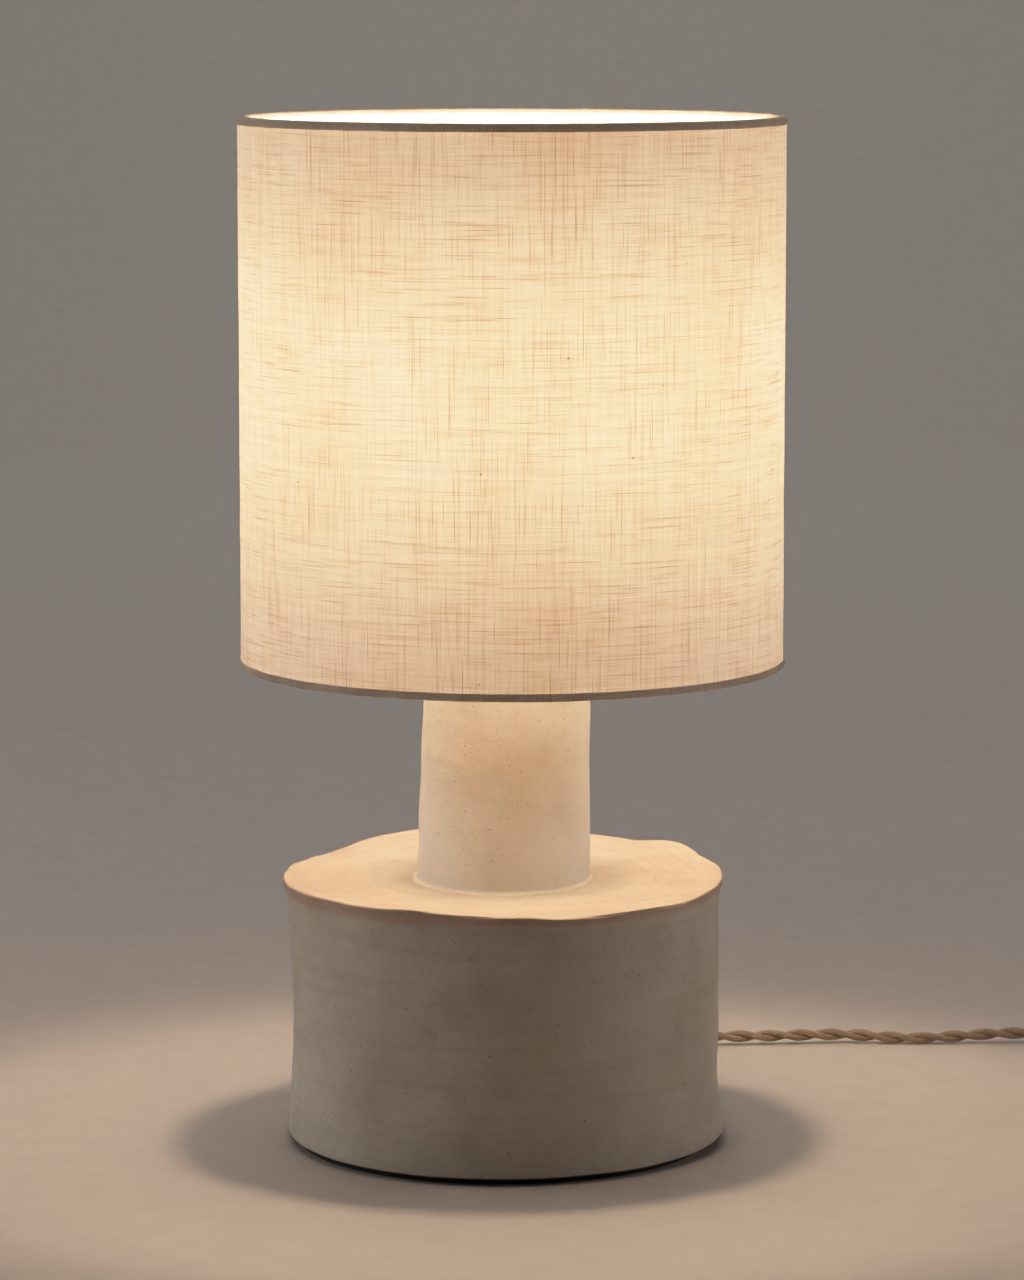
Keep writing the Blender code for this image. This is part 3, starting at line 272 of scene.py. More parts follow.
def linen_finish(name, through):
    """Plain-woven linen with slubs both ways, painted shade in the gaps between its threads, and white
    laminate behind it.

    through is the share of its light that comes from behind.
    """
    made = Finish(name)
    around, up, own = made.unrolled(SHADE_RADIUS)
    weft_ridge, weft_slub, weft_tint = threads(made, up, around, 0.034, 0.0)
    warp_ridge, warp_slub, warp_tint = threads(made, around, up, 0.040, 40.0)
    patches = made.noise(made.vector(around, up, 9.0), 24.0, 2.0)
    lines = []
    for slub, ridge, low, high in ((weft_slub, weft_ridge, 0.34, 0.62), (warp_slub, warp_ridge, 0.66, 0.38)):
        patchy = made.times(slub, made.smooth(patches, low, high, 0.45, 1.0))
        lines.append(made.times(patchy, made.smooth(ridge, 0.0, 1.0, 0.5, 1.0)))
    weft_line, warp_line = lines
    band = made.vector(made.over(around, 0.026), made.over(up, 0.0045), 3.0)
    bands = made.smooth(made.noise(band, 1.0, 2.0), 0.54, 0.74)
    cloud = made.smooth(made.noise(made.vector(around, up, 4.0), 13.0, 3.0), 0.35, 0.68)
    grain = made.noise(made.vector(around, up, 2.0), 2100.0, 1.0)
    weave = made.plus(weft_ridge, warp_ridge)
    nubs = made.dots(own, 75.0, 0.05, 0.72)

    body = made.mix(made.smooth(grain, 0.3, 0.7, 0.0, 0.3), (236, 229, 222), (208, 196, 186))
    clear = made.mix(made.smooth(grain, 0.3, 0.7, 0.0, 0.25), (252, 252, 249), (238, 222, 204))
    for share, body_tint, clear_tint in (
        (weft_line, (192, 180, 174), (217, 186, 160)),
        (warp_line, (186, 174, 168), (210, 174, 146)),
        (bands, (246, 242, 238), (247, 237, 224)),
        (made.times(cloud, 0.55), (244, 240, 236), (244, 231, 216)),
        (made.times(weft_tint, 0.8), (243, 240, 238), (246, 240, 236)),
        (made.times(warp_tint, 0.8), (243, 240, 238), (246, 240, 236)),
        # painted shade: the cloth's own colour is painted darker in the gaps between the threads
        (made.smooth(weave, 1.9, 0.6, 0.0, 0.6), (226, 221, 216), (255, 255, 255)),
        (made.smooth(weave, 0.8, 2.0, 0.0, 0.7), (255, 255, 255), (226, 212, 194)),
        (nubs, (170, 146, 124), (196, 152, 116)),
    ):
        body = made.mix(share, body, body_tint, "MULTIPLY")
        clear = made.mix(share, clear, clear_tint, "MULTIPLY")
    inside = made.node("NewGeometry").outputs["Backfacing"]
    body = made.mix(inside, body, (244, 238, 229))
    relief = made.plus(made.times(grain, 0.5), made.times(made.plus(weft_line, warp_line), 1.1))
    relief = made.plus(relief, made.times(weave, 0.4))
    cloth = made.principled(
        body, made.smooth(grain, 0.3, 0.7, 0.82, 0.96), made.bump(relief, 0.5, 0.00025),
        Sheen_Weight=0.2, Sheen_Roughness=0.6,
    )
    return made.lit_through(through, cloth, clear)


def liner_finish():
    """The white laminate inside the shade, a little fibrous."""
    made = Finish("shade_liner")
    around, up = made.unrolled(SHADE_RADIUS)[:2]
    fibre = made.noise(made.vector(around, up), 420.0, 3.0)
    colour = made.mix(fibre, (246, 249, 252), (232, 232, 228))
    gloss = made.smooth(fibre, 0.3, 0.7, 0.5, 0.7)
    return made.surface(colour, gloss, fibre, 0.2, 0.0003)


def tape_finish():
    """The rolled linen of the hems: the same cloth, pulled tight over the wire."""
    made = Finish("hem_tape")
    around, up = made.unrolled(SHADE_RADIUS)[:2]
    ridge, slub, own_tint = threads(made, around, up, 0.03, 7.0)
    weave = made.noise(made.vector(around, up), 1700.0, 1.0)
    shift = made.noise(made.vector(around, up, 6.0), 60.0, 2.0)
    wide = made.maths("PINGPONG", made.over(around, 0.00048), 1.0)
    ribs = made.plus(made.smooth(wide, 0.2, 0.8, 0.0, 0.7), made.times(own_tint, 0.3))
    ribs = made.times(ribs, made.smooth(shift, 0.35, 0.6, 0.25, 0.85))
    colour = made.mix(ribs, (202, 191, 180), (254, 248, 240))
    colour = made.mix(made.times(slub, 0.4), colour, (170, 154, 138))
    colour = made.mix(made.smooth(weave, 0.35, 0.65, 0.0, 0.3), colour, (150, 132, 116))
    height = made.plus(made.times(ridge, 0.7), weave)
    rough = made.smooth(weave, 0.3, 0.7, 0.85, 0.97)
    cloth = made.principled(colour, rough, made.bump(height, 0.6, 0.0003), Sheen_Weight=0.3)
    return made.lit_through(0.36, cloth, made.mix(0.5, colour, (250, 250, 250)))


def clay_finish():
    """Matte cream stoneware: soft mottling, brushed slip, iron specks and an unglazed rim at the foot, with
    painted warm shade on the neck's front and painted light and shade on the disc's top.
    """
    made = Finish("clay")
    around, up, own = made.unrolled(DRUM_RADIUS)
    x, y, z = made.node("SeparateXYZ", {"Vector": own}).outputs
    broad = made.noise(own, 11.0, 3.0, 0.55)
    smudge = made.noise(own, 42.0, 3.0, 0.6)
    fine = made.noise(own, 260.0, 4.0, 0.6)
    grit = made.noise(own, 1500.0, 2.0, 0.6)
    radius = made.length(x, y)
    brushed = made.noise(made.vector(made.times(around, 11.0), made.times(up, 150.0)), 1.0, 4.0, 0.6)
    swept = made.noise(made.vector(made.times(around, 9.0), made.times(radius, 150.0), 3.0), 1.0, 4.0, 0.6)
    on_disc = made.times(made.smooth(z, 0.1195, 0.1215), made.smooth(z, 0.134, 0.128))
    strokes = made.node("Mix", {0: on_disc, 2: brushed, 3: swept}, data_type="FLOAT").outputs[0]

    colour = made.mix(made.smooth(broad, 0.35, 0.66), (203, 197, 187), (189, 181, 169))
    for pattern, low, high, share, tint in (
        (smudge, 0.46, 0.76, 0.5, (176, 166, 152)),
        (strokes, 0.46, 0.74, 0.4, (178, 166, 148)),
        (fine, 0.50, 0.78, 0.3, (164, 152, 136)),
        (grit, 0.40, 0.68, 0.35, (170, 159, 146)),
    ):
        colour = made.mix(made.smooth(pattern, low, high, 0.0, share), colour, tint)
    # painted warm shade: the front of the neck is painted darker and warmer, where only warm bounced light
    # falls and the cool side light does not reach
    painted_shade_centre = {0: own, 1: (-0.006, -0.036, 0.163)}
    from_painted_shade = made.node("VectorMath", painted_shade_centre, operation="DISTANCE").outputs["Value"]
    painted_warm_shade = made.times(made.smooth(from_painted_shade, 0.054, 0.002), made.smooth(smudge, 0.25, 0.70, 0.30, 0.74))
    colour = made.mix(painted_warm_shade, colour, (186, 156, 124))
    off = made.minus(x, DRUM_OFF_AXIS)
    neck_radius = made.length(off, y)
    pale = made.times(made.smooth(z, 0.200, 0.135), made.smooth(neck_radius, 0.0425, 0.0402))
    colour = made.mix(made.times(pale, 0.72), colour, (242, 236, 229))
    # painted light and shade on the disc's top: darker and warmer towards its edge, where the bulb's light
    # falls strongest, and left light near the neck to lift the shadow that the neck and holder cast there
    painted_disc_face = made.times(made.smooth(z, 0.1165, 0.1200), made.smooth(neck_radius, 0.0402, 0.0425))
    painted_disc_light = made.mix(made.smooth(neck_radius, 0.044, 0.080), (255, 252, 249), (246, 227, 220))
    colour = made.mix(painted_disc_face, colour, painted_disc_light, "MULTIPLY")
    azimuth = made.over(made.maths("ARCTAN2", y, off), CURL_REACH)
    near_curl = made.maths("EXPONENT", made.times(-1.0, made.times(azimuth, azimuth)))
    curl = made.times(near_curl, CURL_RISE * 0.85)
    bare = made.smooth(made.minus(z, curl), SKIRT_BOTTOM + 0.0011, SKIRT_BOTTOM + 0.0005)
    colour = made.mix(made.times(bare, 0.9), colour, (98, 58, 32))
    specks = ((620.0, 0.17, 0.50, 0.50), (240.0, 0.10, 0.52, 0.75), (120.0, 0.06, 0.80, 0.90))
    for scale, size, rarity, depth in specks:
        colour = made.mix(made.times(made.dots(own, scale, size, rarity), depth), colour, (82, 62, 46))
    height = made.plus(made.times(strokes, 0.5), made.times(smudge, 0.6))
    height = made.plus(height, made.plus(made.times(fine, 0.35), made.times(grit, 0.10)))
    rough = made.smooth(strokes, 0.3, 0.7, 0.66, 0.86)
    return made.surface(colour, rough, height, 0.4, 0.0012, Specular_IOR_Level=0.3)


def braid_finish(name, unrolled):
    """The braided textile over each strand of the cord: fine crossing yarns with a dusty sheen."""
    made = Finish(name)
    own, x, y, z = made.place()
    if unrolled:
        run = made.node("UVMap", uv_map="strand").outputs["UV"]
        around, along = made.node("SeparateXYZ", {"Vector": run}).outputs[:2]
    else:
        around, along = made.times(made.plus(x, y), 60.0), z
    turns = made.times(around, 6.0)
    steps = made.over(along, 0.0019)
    over = made.maths("SINE", made.times(made.plus(turns, steps), math.tau))
    under = made.maths("SINE", made.times(made.minus(turns, steps), math.tau))
    braid = made.times(over, under)
    dust = made.noise(own, 700.0, 2.0)
    fade = made.noise(own, 45.0, 2.0)
    colour = made.mix(made.smooth(braid, -0.6, 0.6), (128, 104, 84), (190, 167, 144))
    colour = made.mix(made.smooth(dust, 0.4, 0.7, 0.0, 0.4), colour, (168, 144, 122))
    colour = made.mix(made.smooth(fade, 0.4, 0.7, 0.0, 0.3), colour, (152, 126, 102))
    height = made.plus(braid, made.times(dust, 0.5))
    rough = made.smooth(dust, 0.3, 0.7, 0.80, 0.95)
    return made.surface(colour, rough, height, 0.8, 0.00025, Sheen_Weight=0.3)


def plastic_finish(name, colour, darker, rough=0.38):
    """Moulded plastic: a fine texture, faint flow marks and a little grime."""
    made = Finish(name)
    own = made.place()[0]
    grain = made.noise(own, 1600.0, 2.0)
    flow = made.noise(own, 30.0, 3.0)
    shown = made.mix(made.smooth(flow, 0.35, 0.75, 0.0, 0.6), colour, darker)
    gloss = made.smooth(grain, 0.3, 0.7, rough, rough + 0.14)
    return made.surface(shown, gloss, grain, 0.12, 0.0003)


def metal_finish(name, colour, darker):
    """Plated or turned metal: fine turning lines and a slightly dulled plating."""
    made = Finish(name)
    own, x, y, z = made.place()
    lines = made.noise(made.vector(0.0, 0.0, made.times(z, 5200.0)), 1.0, 2.0)
    dull = made.noise(own, 160.0, 3.0)
    shown = made.mix(made.smooth(dull, 0.35, 0.75), colour, darker)
    gloss = made.smooth(dull, 0.3, 0.7, 0.3, 0.5)
    return made.surface(shown, gloss, lines, 0.15, 0.0002, Metallic=1.0)


def pin_finish():
    """A plug pin: plated brass at its tip and a moulded sleeve behind it."""
    made = Finish("plug_pin")
    own, x, y, z = made.place()
    dull = made.noise(own, 400.0, 3.0)
    sleeve = made.maths("GREATER_THAN", y, PLUG_LOW[1] - 0.0101)
    metal = made.mix(dull, (224, 214, 190), (188, 172, 138))
    colour = made.mix(sleeve, metal, (226, 222, 212))
    gloss = made.smooth(dull, 0.3, 0.7, 0.25, 0.42)
    shine = made.minus(1.0, sleeve)
    return made.surface(colour, gloss, dull, 0.1, 0.0002, Metallic=shine)


def felt_finish(name, colour, lighter):
    """Pressed fibres, for the felt, the board and the ties."""
    made = Finish(name)
    own = made.place()[0]
    fibres = made.noise(own, 900.0, 4.0, 0.7)
    shown = made.mix(made.smooth(fibres, 0.4, 0.7), colour, lighter)
    rough = made.smooth(fibres, 0.3, 0.7, 0.85, 1.0)
    return made.surface(shown, rough, fibres, 0.8, 0.0006)


def opal_finish():
    """The bulb's opal glass, alight: brightest round its middle and a little dimmer towards its neck."""
    made = Finish("opal_glass")
    own, x, y, z = made.place()
    haze = made.noise(own, 60.0, 2.0)
    glow = made.smooth(z, BULB_LOW[2], BULB_CENTRE.z, 1.2, 5.0)
    inputs = {
        "Base Color": made.mix(haze, (250, 246, 238), (240, 234, 222)),
        "Roughness": 0.25, "Emission Color": (255, 228, 186),
        "Emission Strength": made.times(glow, made.smooth(haze, 0.2, 0.8, 0.9, 1.1)),
    }
    return made.shade(made.node("BsdfPrincipled", inputs).outputs[0])


# ---- tools for shapes
def placed(name, data):
    """A new object in the scene."""
    made = bpy.data.objects.new(name, data)
    bpy.context.scene.collection.objects.link(made)
    return made


def show(shape, name, finish, stands_for, body="base", sharp=40):
    """Makes a piece from a bmesh, with its finish, on a CAD body and in place of CAD nodes."""
    mesh = bpy.data.meshes.new(name)
    shape.to_mesh(mesh)
    shape.free()
    mesh.shade_smooth()
    mesh.set_sharp_from_angle(angle=math.radians(sharp))
    mesh.materials.append(finish)
    made = placed(name, mesh)
    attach(made, body)
    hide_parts(*stands_for)
    return made


def polar(radius, angle, height=0.0):
    """A point at a distance from the Z axis."""
    return Vector((radius * math.cos(angle), radius * math.sin(angle), height))


def pushed(point, out_by):
    """The point further out from the Z axis."""
    radius = math.hypot(point.x, point.y)
    out = (radius + out_by) / radius
    return Vector((point.x * out, point.y * out, point.z))


def arc(centre_r, centre_z, radius, start, end, steps):
    """Profile points on an arc, with its angles in degrees from the radius towards +Z."""
    points = []
    for step in range(steps + 1):
        angle = math.radians(start + (end - start) * step / steps)
        points.append((centre_r + radius * math.cos(angle), centre_z + radius * math.sin(angle)))
    return points


def turned(profile, sides, shaped=None):
    """A closed profile of (radius, height) points turned about Z; shaped moves a point off the true form."""
    shape = bmesh.new()
    rings = []
    for radius, height in profile:
        if radius < 1e-7:
            rings.append([shape.verts.new((0, 0, height))])
            continue
        ring = []
        for step in range(sides):
            angle = math.tau * step / sides
            point = polar(radius, angle, height)
            ring.append(shape.verts.new(shaped(point, angle) if shaped else point))
        rings.append(ring)
    for upper, lower in zip(rings, rings[1:] + rings[:1]):
        for step in range(sides):
            corners = []
            following = (step + 1) % sides
            for ring, at in ((upper, step), (lower, step), (lower, following), (upper, following)):
                corner = ring[at if len(ring) > 1 else 0]
                if corner not in corners:
                    corners.append(corner)
            if len(corners) > 2:
                shape.faces.new(corners)
    if shape.calc_volume(signed=True) < 0:
        bmesh.ops.reverse_faces(shape, faces=shape.faces)
    return shape


def moved(shape, matrix):
    bmesh.ops.transform(shape, matrix=matrix, verts=shape.verts)
    return shape


def along_y(x, y, z):
    """Lays a turned piece's axis from +Z to +Y, with its origin at a place."""
    return Matrix.Translation((x, y, z)) @ Matrix.Rotation(-math.pi / 2, 4, "X")


def dense(profile, spacing):
    """The same profile with points added along its longer straight parts."""
    points = []
    for (r0, z0), (r1, z1) in zip(profile, profile[1:] + profile[:1]):
        steps = max(1, round(math.hypot(r1 - r0, z1 - z0) / spacing))
        for step in range(steps):
            share = step / steps
            points.append((r0 + (r1 - r0) * share, z0 + (z1 - z0) * share))
    return points


def skin(shape, rows, closed=True):
    """Faces between rows of corners that follow each other; a closed row's last corner meets its first."""
    for lower, upper in zip(rows, rows[1:]):
        for at in range(len(lower) if closed else len(lower) - 1):
            following = (at + 1) % len(lower)
            shape.faces.new((lower[at], lower[following], upper[following], upper[at]))


def loft(rings, start=True, end=True):
    """A skin over rings of points that follow each other, closed at either end."""
    shape = bmesh.new()
    rows = [[shape.verts.new(point) for point in ring] for ring in rings]
    skin(shape, rows)
    if start:
        shape.faces.new(list(reversed(rows[0])))
    if end:
        shape.faces.new(rows[-1])
    bmesh.ops.recalc_face_normals(shape, faces=shape.faces)
    return shape


def rounded(width, length, radius, steps=6):
    """Points round a rectangle with round corners, about the origin."""
    points = []
    for start, side_x, side_y in ((0, 1, 1), (90, -1, 1), (180, -1, -1), (270, 1, -1)):
        corner_x = side_x * (width / 2 - radius)
        corner_y = side_y * (length / 2 - radius)
        points += arc(corner_x, corner_y, radius, start, start + 90, steps)
    return points


def smooth_route(points, spacing):
    """Evenly spaced points on the Catmull-Rom curve through a route's points."""
    route = [Vector(point) for point in points]
    before = [2 * route[0] - route[1], *route, 2 * route[-1] - route[-2]]
    fine = []
    steps = 24
    for a, b, c, d in zip(before, before[1:], before[2:], before[3:]):
        for step in range(steps):
            t = step / steps
            bend = (2 * a - 5 * b + 4 * c - d) * t**2 + (3 * b - a - 3 * c + d) * t**3
            fine.append(0.5 * (2 * b + (c - a) * t + bend))
    fine.append(route[-1])
    return evenly(fine, spacing)


def evenly(fine, spacing):
    """The same line with its points a spacing apart."""
    reached = [0.0]
    for first, second in zip(fine, fine[1:]):
        reached.append(reached[-1] + (second - first).length)
    count = max(2, round(reached[-1] / spacing))
    even = []
    at = 0
    for step in range(count + 1):
        wanted = reached[-1] * step / count
        while at < len(fine) - 2 and reached[at + 1] < wanted:
            at += 1
        span = reached[at + 1] - reached[at]
        share = (wanted - reached[at]) / span if span > 0 else 0.0
        even.append(fine[at].lerp(fine[at + 1], share))
    return even


def direction(line, index):
    """Which way a line runs at one of its points."""
    return (line[min(index + 1, len(line) - 1)] - line[max(index - 1, 0)]).normalized()


def travelling_frames(line):
    """Two directions across the line at each point, carried along it without twist."""
    normal = Vector((0, 0, 1))
    frames = []
    for index in range(len(line)):
        ahead = direction(line, index)
        normal = (normal - ahead * normal.dot(ahead)).normalized()
        frames.append((normal.copy(), ahead.cross(normal)))
    return frames


def tube(shape, centres, outs, radius, sides, uv=None, start=0.0):
    """Adds a closed round tube along its centres; outs are the directions that its first corner faces."""
    rings = []
    lengths = [start]
    for index, (centre, out) in enumerate(zip(centres, outs)):
        ahead = direction(centres, index)
        across = (out - ahead * out.dot(ahead)).normalized()
        beside = ahead.cross(across)
        ring = []
        for side in range(sides):
            angle = math.tau * side / sides
            facing = math.cos(angle) * across + math.sin(angle) * beside
            ring.append(shape.verts.new(centre + radius * facing))
        rings.append(ring)
        if index:
            lengths.append(lengths[-1] + (centre - centres[index - 1]).length)
    for index, (first, second) in enumerate(zip(rings, rings[1:])):
        for side in range(sides):
            following = (side + 1) % sides
            face = shape.faces.new((first[side], first[following], second[following], second[side]))
            if uv:
                ends = ((side, index), (side + 1, index), (side + 1, index + 1), (side, index + 1))
                for loop, (around, at) in zip(face.loops, ends):
                    loop[uv].uv = (around / sides, lengths[at])
    shape.faces.new(list(reversed(rings[0])))
    shape.faces.new(rings[-1])


def wire(line, radius, sides=14):
    shape = bmesh.new()
    tube(shape, line, [across for across, beside in travelling_frames(line)], radius, sides)
    return shape


# ---- the camera
CAMERA_PLACE = (0, -2.285, 0.541)
CAMERA_TILT = 7.657
FOCAL_LENGTH = 140.6


def make_camera():
    """A long lens, a little above the shade's top, looking slightly down."""
    lens = bpy.data.cameras.new("camera")
    lens.sensor_width = 36
    lens.lens = FOCAL_LENGTH
    camera = placed("camera", lens)
    camera.location = CAMERA_PLACE
    camera.rotation_euler = (math.radians(90 - CAMERA_TILT), 0, 0)
    bpy.context.scene.camera = camera


# ---- the cord
def twisted_cord(name, line, finish, stands_for, twist_start):
    """Two braided strands twisted round each other along a line."""
    shape = bmesh.new()
    uv = shape.loops.layers.uv.new("strand")
    frames = travelling_frames(line)
    offset = CORD_RADIUS - STRAND_RADIUS
    reached = 0.0
    angles = []
    for index, point in enumerate(line):
        if index:
            reached += (point - line[index - 1]).length
        angles.append(math.tau * reached / TWIST_PITCH + twist_start)
    for strand in range(2):
        outs = []
        for angle, (across, beside) in zip(angles, frames):
            turn = angle + math.pi * strand
            outs.append(math.cos(turn) * across + math.sin(turn) * beside)
        centres = [point + offset * out for point, out in zip(line, outs)]
        tube(shape, centres, outs, STRAND_RADIUS, 12, uv, strand * 0.0007)
    return show(shape, name, finish, stands_for)


def coil_line():
    """From inside the switch, into two and a half turns, out again on top of them, and into the plug."""
    line = smooth_route(
        [
            (LEAD_X, SWITCH_FRONT + INTO_SWITCH, SWITCH_CORD_HEIGHT),
            (LEAD_X, SWITCH_FRONT - GAP, SWITCH_CORD_HEIGHT),
            (LEAD_X, SWITCH_FRONT - 0.014, 0.0070),
            (LEAD_X, COIL_CENTRE.y + 0.026, 0.0050),
            (LEAD_X, COIL_CENTRE.y + 0.006, LOWER_LAYER),
        ],
        0.002,
    )
    half = math.pi * COIL_TURNS
    steps = 60 * COIL_TURNS
    climb = math.radians(50)
    for step in range(steps + 1):
        angle = 2 * half * step / steps
        inward = angle if angle < half else 2 * half - angle
        radius = COIL_OUTER_TURN - TURN_PITCH * inward / math.tau
        rise = min(max((angle - half + climb / 2) / climb, 0), 1)
        height = LOWER_LAYER + (UPPER_LAYER - LOWER_LAYER) * rise * rise * (3 - 2 * rise)
        line.append(COIL_CENTRE + polar(radius, -angle, height))
    line += smooth_route(
        [
            (LEAD_X, COIL_CENTRE.y - 0.006, UPPER_LAYER),
            (LEAD_X, COIL_CENTRE.y - 0.024, 0.0091),
            (LEAD_X, COIL_CENTRE.y - 0.044, 0.0076),
            (LEAD_X, RELIEF_HIGH[1], PLUG_CORD_HEIGHT),
            (LEAD_X, RELIEF_LOW[1] + 0.001, PLUG_CORD_HEIGHT),
        ],
        0.002,
    )
    return evenly(line, 0.0016)


def make_cords(finish):
    """The cord from the lamp to the switch, and from there through the coil to the plug."""
    inside_gland = [(CORD_EXIT[0], CORD_EXIT[1] - 0.018 + step * 0.006, CORD_EXIT[2]) for step in range(3)]
    inside_switch = (LEAD_X, SWITCH_BACK - INTO_SWITCH, SWITCH_CORD_HEIGHT)
    first = smooth_route([*inside_gland, *CORD_ROUTE, inside_switch], 0.0016)
    lamp_lead = twisted_cord("cord_lamp_to_switch", first, finish, ["cord_to_switch"], 0.9)
    second = coil_line()
    stored = twisted_cord(
        "cord_switch_to_plug", second, finish, ["cord_to_coil", "cord_coil", "cord_to_plug"], 0.0
    )


def make_ties(finish):
    """Two hook-and-loop straps round the coil's turns, each with its end lapped over its start."""
    made = []
    thickness = 0.0010
    low, high = heights("coil_tie_1")
    height = high - low - thickness
    width = COIL_OUTER_TURN + CORD_RADIUS - COIL_INNER + 0.0022 + thickness
    middle = (COIL_INNER + COIL_OUTER_TURN + CORD_RADIUS) / 2
    for number, azimuth in enumerate(TIE_AZIMUTHS, 1):
        angle = math.radians(azimuth)
        out, side = polar(1, angle), polar(1, angle + math.pi / 2)
        centre = COIL_CENTRE + out * middle + Vector((0, 0, (low + high) / 2))
        per_turn = len(rounded(1, 1, 0.1, 8))
        rings = []
        for step in range(-2, per_turn + 7):
            lift = 0.00105 * min(max((step - per_turn + 8) / 6, 0), 1)
            x, z = rounded(width + 2 * lift, height + 2 * lift, 0.0035 + lift, 8)[step % per_turn]
            inner_x, inner_z = rounded(width - 0.002, height - 0.002, 0.0025, 8)[step % per_turn]
            facing = (out * (x - inner_x) + Vector((0, 0, z - inner_z))).normalized()
            at = centre + out * x + Vector((0, 0, z))
            section = rounded(0.0080, thickness, 0.0004, 2)
            rings.append([at + side * across + facing * through for across, through in section])
        made.append(show(loft(rings), f"hook_tie_{number}", finish, [f"coil_tie_{number}"]))
    return made


# ---- the switch and the plug
def make_switch(plastic):
    """A two-part inline housing with soft edges, and a rocker in a chamfered opening."""
    centre = Vector((LEAD_X, ROCKER_PIVOT.y, 0))
    width = SWITCH_HIGH[0] - SWITCH_LOW[0]
    length = SWITCH_BACK - SWITCH_FRONT
    corner = 0.0090

    def ring(inset, height):
        points = rounded(width - 2 * inset, length - 2 * inset, corner - inset)
        return [centre + Vector((x, y, height)) for x, y in points]

    def mouth(out, height):
        points = rounded(0.0120 + 2 * out, 0.0236 + 2 * out, 0.0010 + out)
        return [centre + Vector((x, y, height)) for x, y in points]

    top = SWITCH_HIGH[2]
    rings = [ring(i, z) for i, z in arc(0.0018, 0.0018, 0.0018, 270, 180, 5)]
    rings += [ring(0, top - 0.0003), ring(0.0003, top), ring(0.0016, top), ring(0.0017, top + 0.001)]
    base = show(loft(rings), "switch_bottom", plastic, ["switch_base"])

    low, high = heights("switch_cover")
    rings = [ring(0.0016, low + 0.0001), ring(0.0003, low), ring(0, low + 0.0003)]
    rings += [ring(i, z) for i, z in arc(0.0034, high - 0.0034, 0.0034, 180, 90, 8)]
    chamfer = ((0.0013, 0), (0.0006, 0.0002), (0.0001, 0.0008), (0, 0.006))
    rings += [mouth(out, high - down) for out, down in chamfer]
    cover = show(loft(rings, False, False), "switch_top", plastic, ["switch_cover"])

    reach = 0.0112
    outline = [(0.0110 * step / 8, 0.0043 + 0.0009 * (step / 8) ** 2) for step in range(-8, 9)]
    outline += [(reach, 0.0048), (reach, -0.0030), (0.0030, -0.0048), (-0.0030, -0.0048), (-reach, -0.0030)]
    outline += [(-reach, 0.0048)]
    rings = []
    edges = ((0.0054, 0.0006), (0.0052, 0.0002), (0.0048, 0))
    for across, inset in [(-out, inset) for out, inset in edges] + list(reversed(edges)):
        shrink = 1 - inset / reach
        rings.append([Vector((across, y * shrink, z - inset if z > 0 else z + inset)) for y, z in outline])
    shape = moved(loft(rings), Matrix.Translation(ROCKER_PIVOT) @ Matrix.Rotation(ROCKER_TILT, 4, "X"))
    show(shape, "rocker", plastic, ["switch_rocker"], "rocker")
    return [base, cover]


def make_plug(plastic, pin):
    """A flat two-pin plug with soft edges and finger grips, a ribbed strain relief and sleeved pins."""
    back, front = PLUG_HIGH[1], PLUG_LOW[1]
    half_height = (PLUG_HIGH[2] - PLUG_LOW[2]) / 2
    half_widths = (
        (0, 0.0070), (0.0070, 0.0095), (0.0200, 0.0165), (0.0240, 0.0176), (0.0295, 0.0176), (0.0355, 0.0137),
    )
    stations = smooth_route([(wide, 0, along) for along, wide in half_widths], 0.0008)
    rings = []
    last = len(stations) - 1
    for at, station in enumerate(stations):
        y = back - min(station.z, back - front)
        from_end = min(at, last - at)
        inset = (0.0018, 0.0009, 0.0003, 0.0)[min(from_end, 3)]
        grip = 0.0005 * max(0, math.sin(station.z * 1900)) if 0.006 < station.z < 0.019 else 0.0
        section = rounded(2 * (station.x - inset), 2 * (half_height - inset - grip), 0.0045)
        rings.append([Vector((LEAD_X + x, y, PLUG_CORD_HEIGHT + z)) for x, z in section])
    body = show(loft(rings), "plug", plastic, ["plug_body"])

    length = RELIEF_HIGH[1] - RELIEF_LOW[1]
    outer = []
    for step in range(97):
        share = step / 96
        ribbed = 0.0005 * max(0, math.sin(share * math.tau * 7)) ** 0.5 if 0.07 < share < 0.93 else 0.0
        outer.append((0.0040 + 0.0012 * share - ribbed, -length * share))
    bore = CORD_RADIUS + GAP
    shape = turned([(bore, 0), *outer, (bore, -length)], 48)
    shape = moved(shape, along_y(LEAD_X, RELIEF_HIGH[1], PLUG_CORD_HEIGHT))
    relief = show(shape, "strain_relief", plastic, ["plug_strain_relief"])

    parts = [body, relief]
    for number in (1, 2):
        low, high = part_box(f"plug_pin_{number}")
        x = (low[0] + high[0]) / 2
        reach = high[1] - low[1]
        profile = [(0, 0), (0.0019, 0), (0.0019, -0.0158), (0.0020, -0.0160)]
        profile += arc(0.0010, 0.0010 - reach, 0.0010, 0, -90, 6) + [(0, -reach)]
        shape = moved(turned(profile, 32), along_y(x, high[1], PLUG_CORD_HEIGHT))
        parts.append(show(shape, f"pin_{number}", pin, [f"plug_pin_{number}"]))
    return parts


# ---- the clay base
def clay_centre(height):
    """How far the axis of the leaning clay is from the lamp's axis."""
    rise = (height - DISC_TOP) / (NECK_TOP - DISC_TOP)
    return DRUM_OFF_AXIS + (NECK_TOP_OFF_AXIS - DRUM_OFF_AXIS) * min(max(rise, 0), 1)


def waves(angle, *parts):
    """A sum of sines round the lamp, each one with its size, its count and its shift."""
    return sum(size * math.sin(count * angle + shift) for size, count, shift in parts)


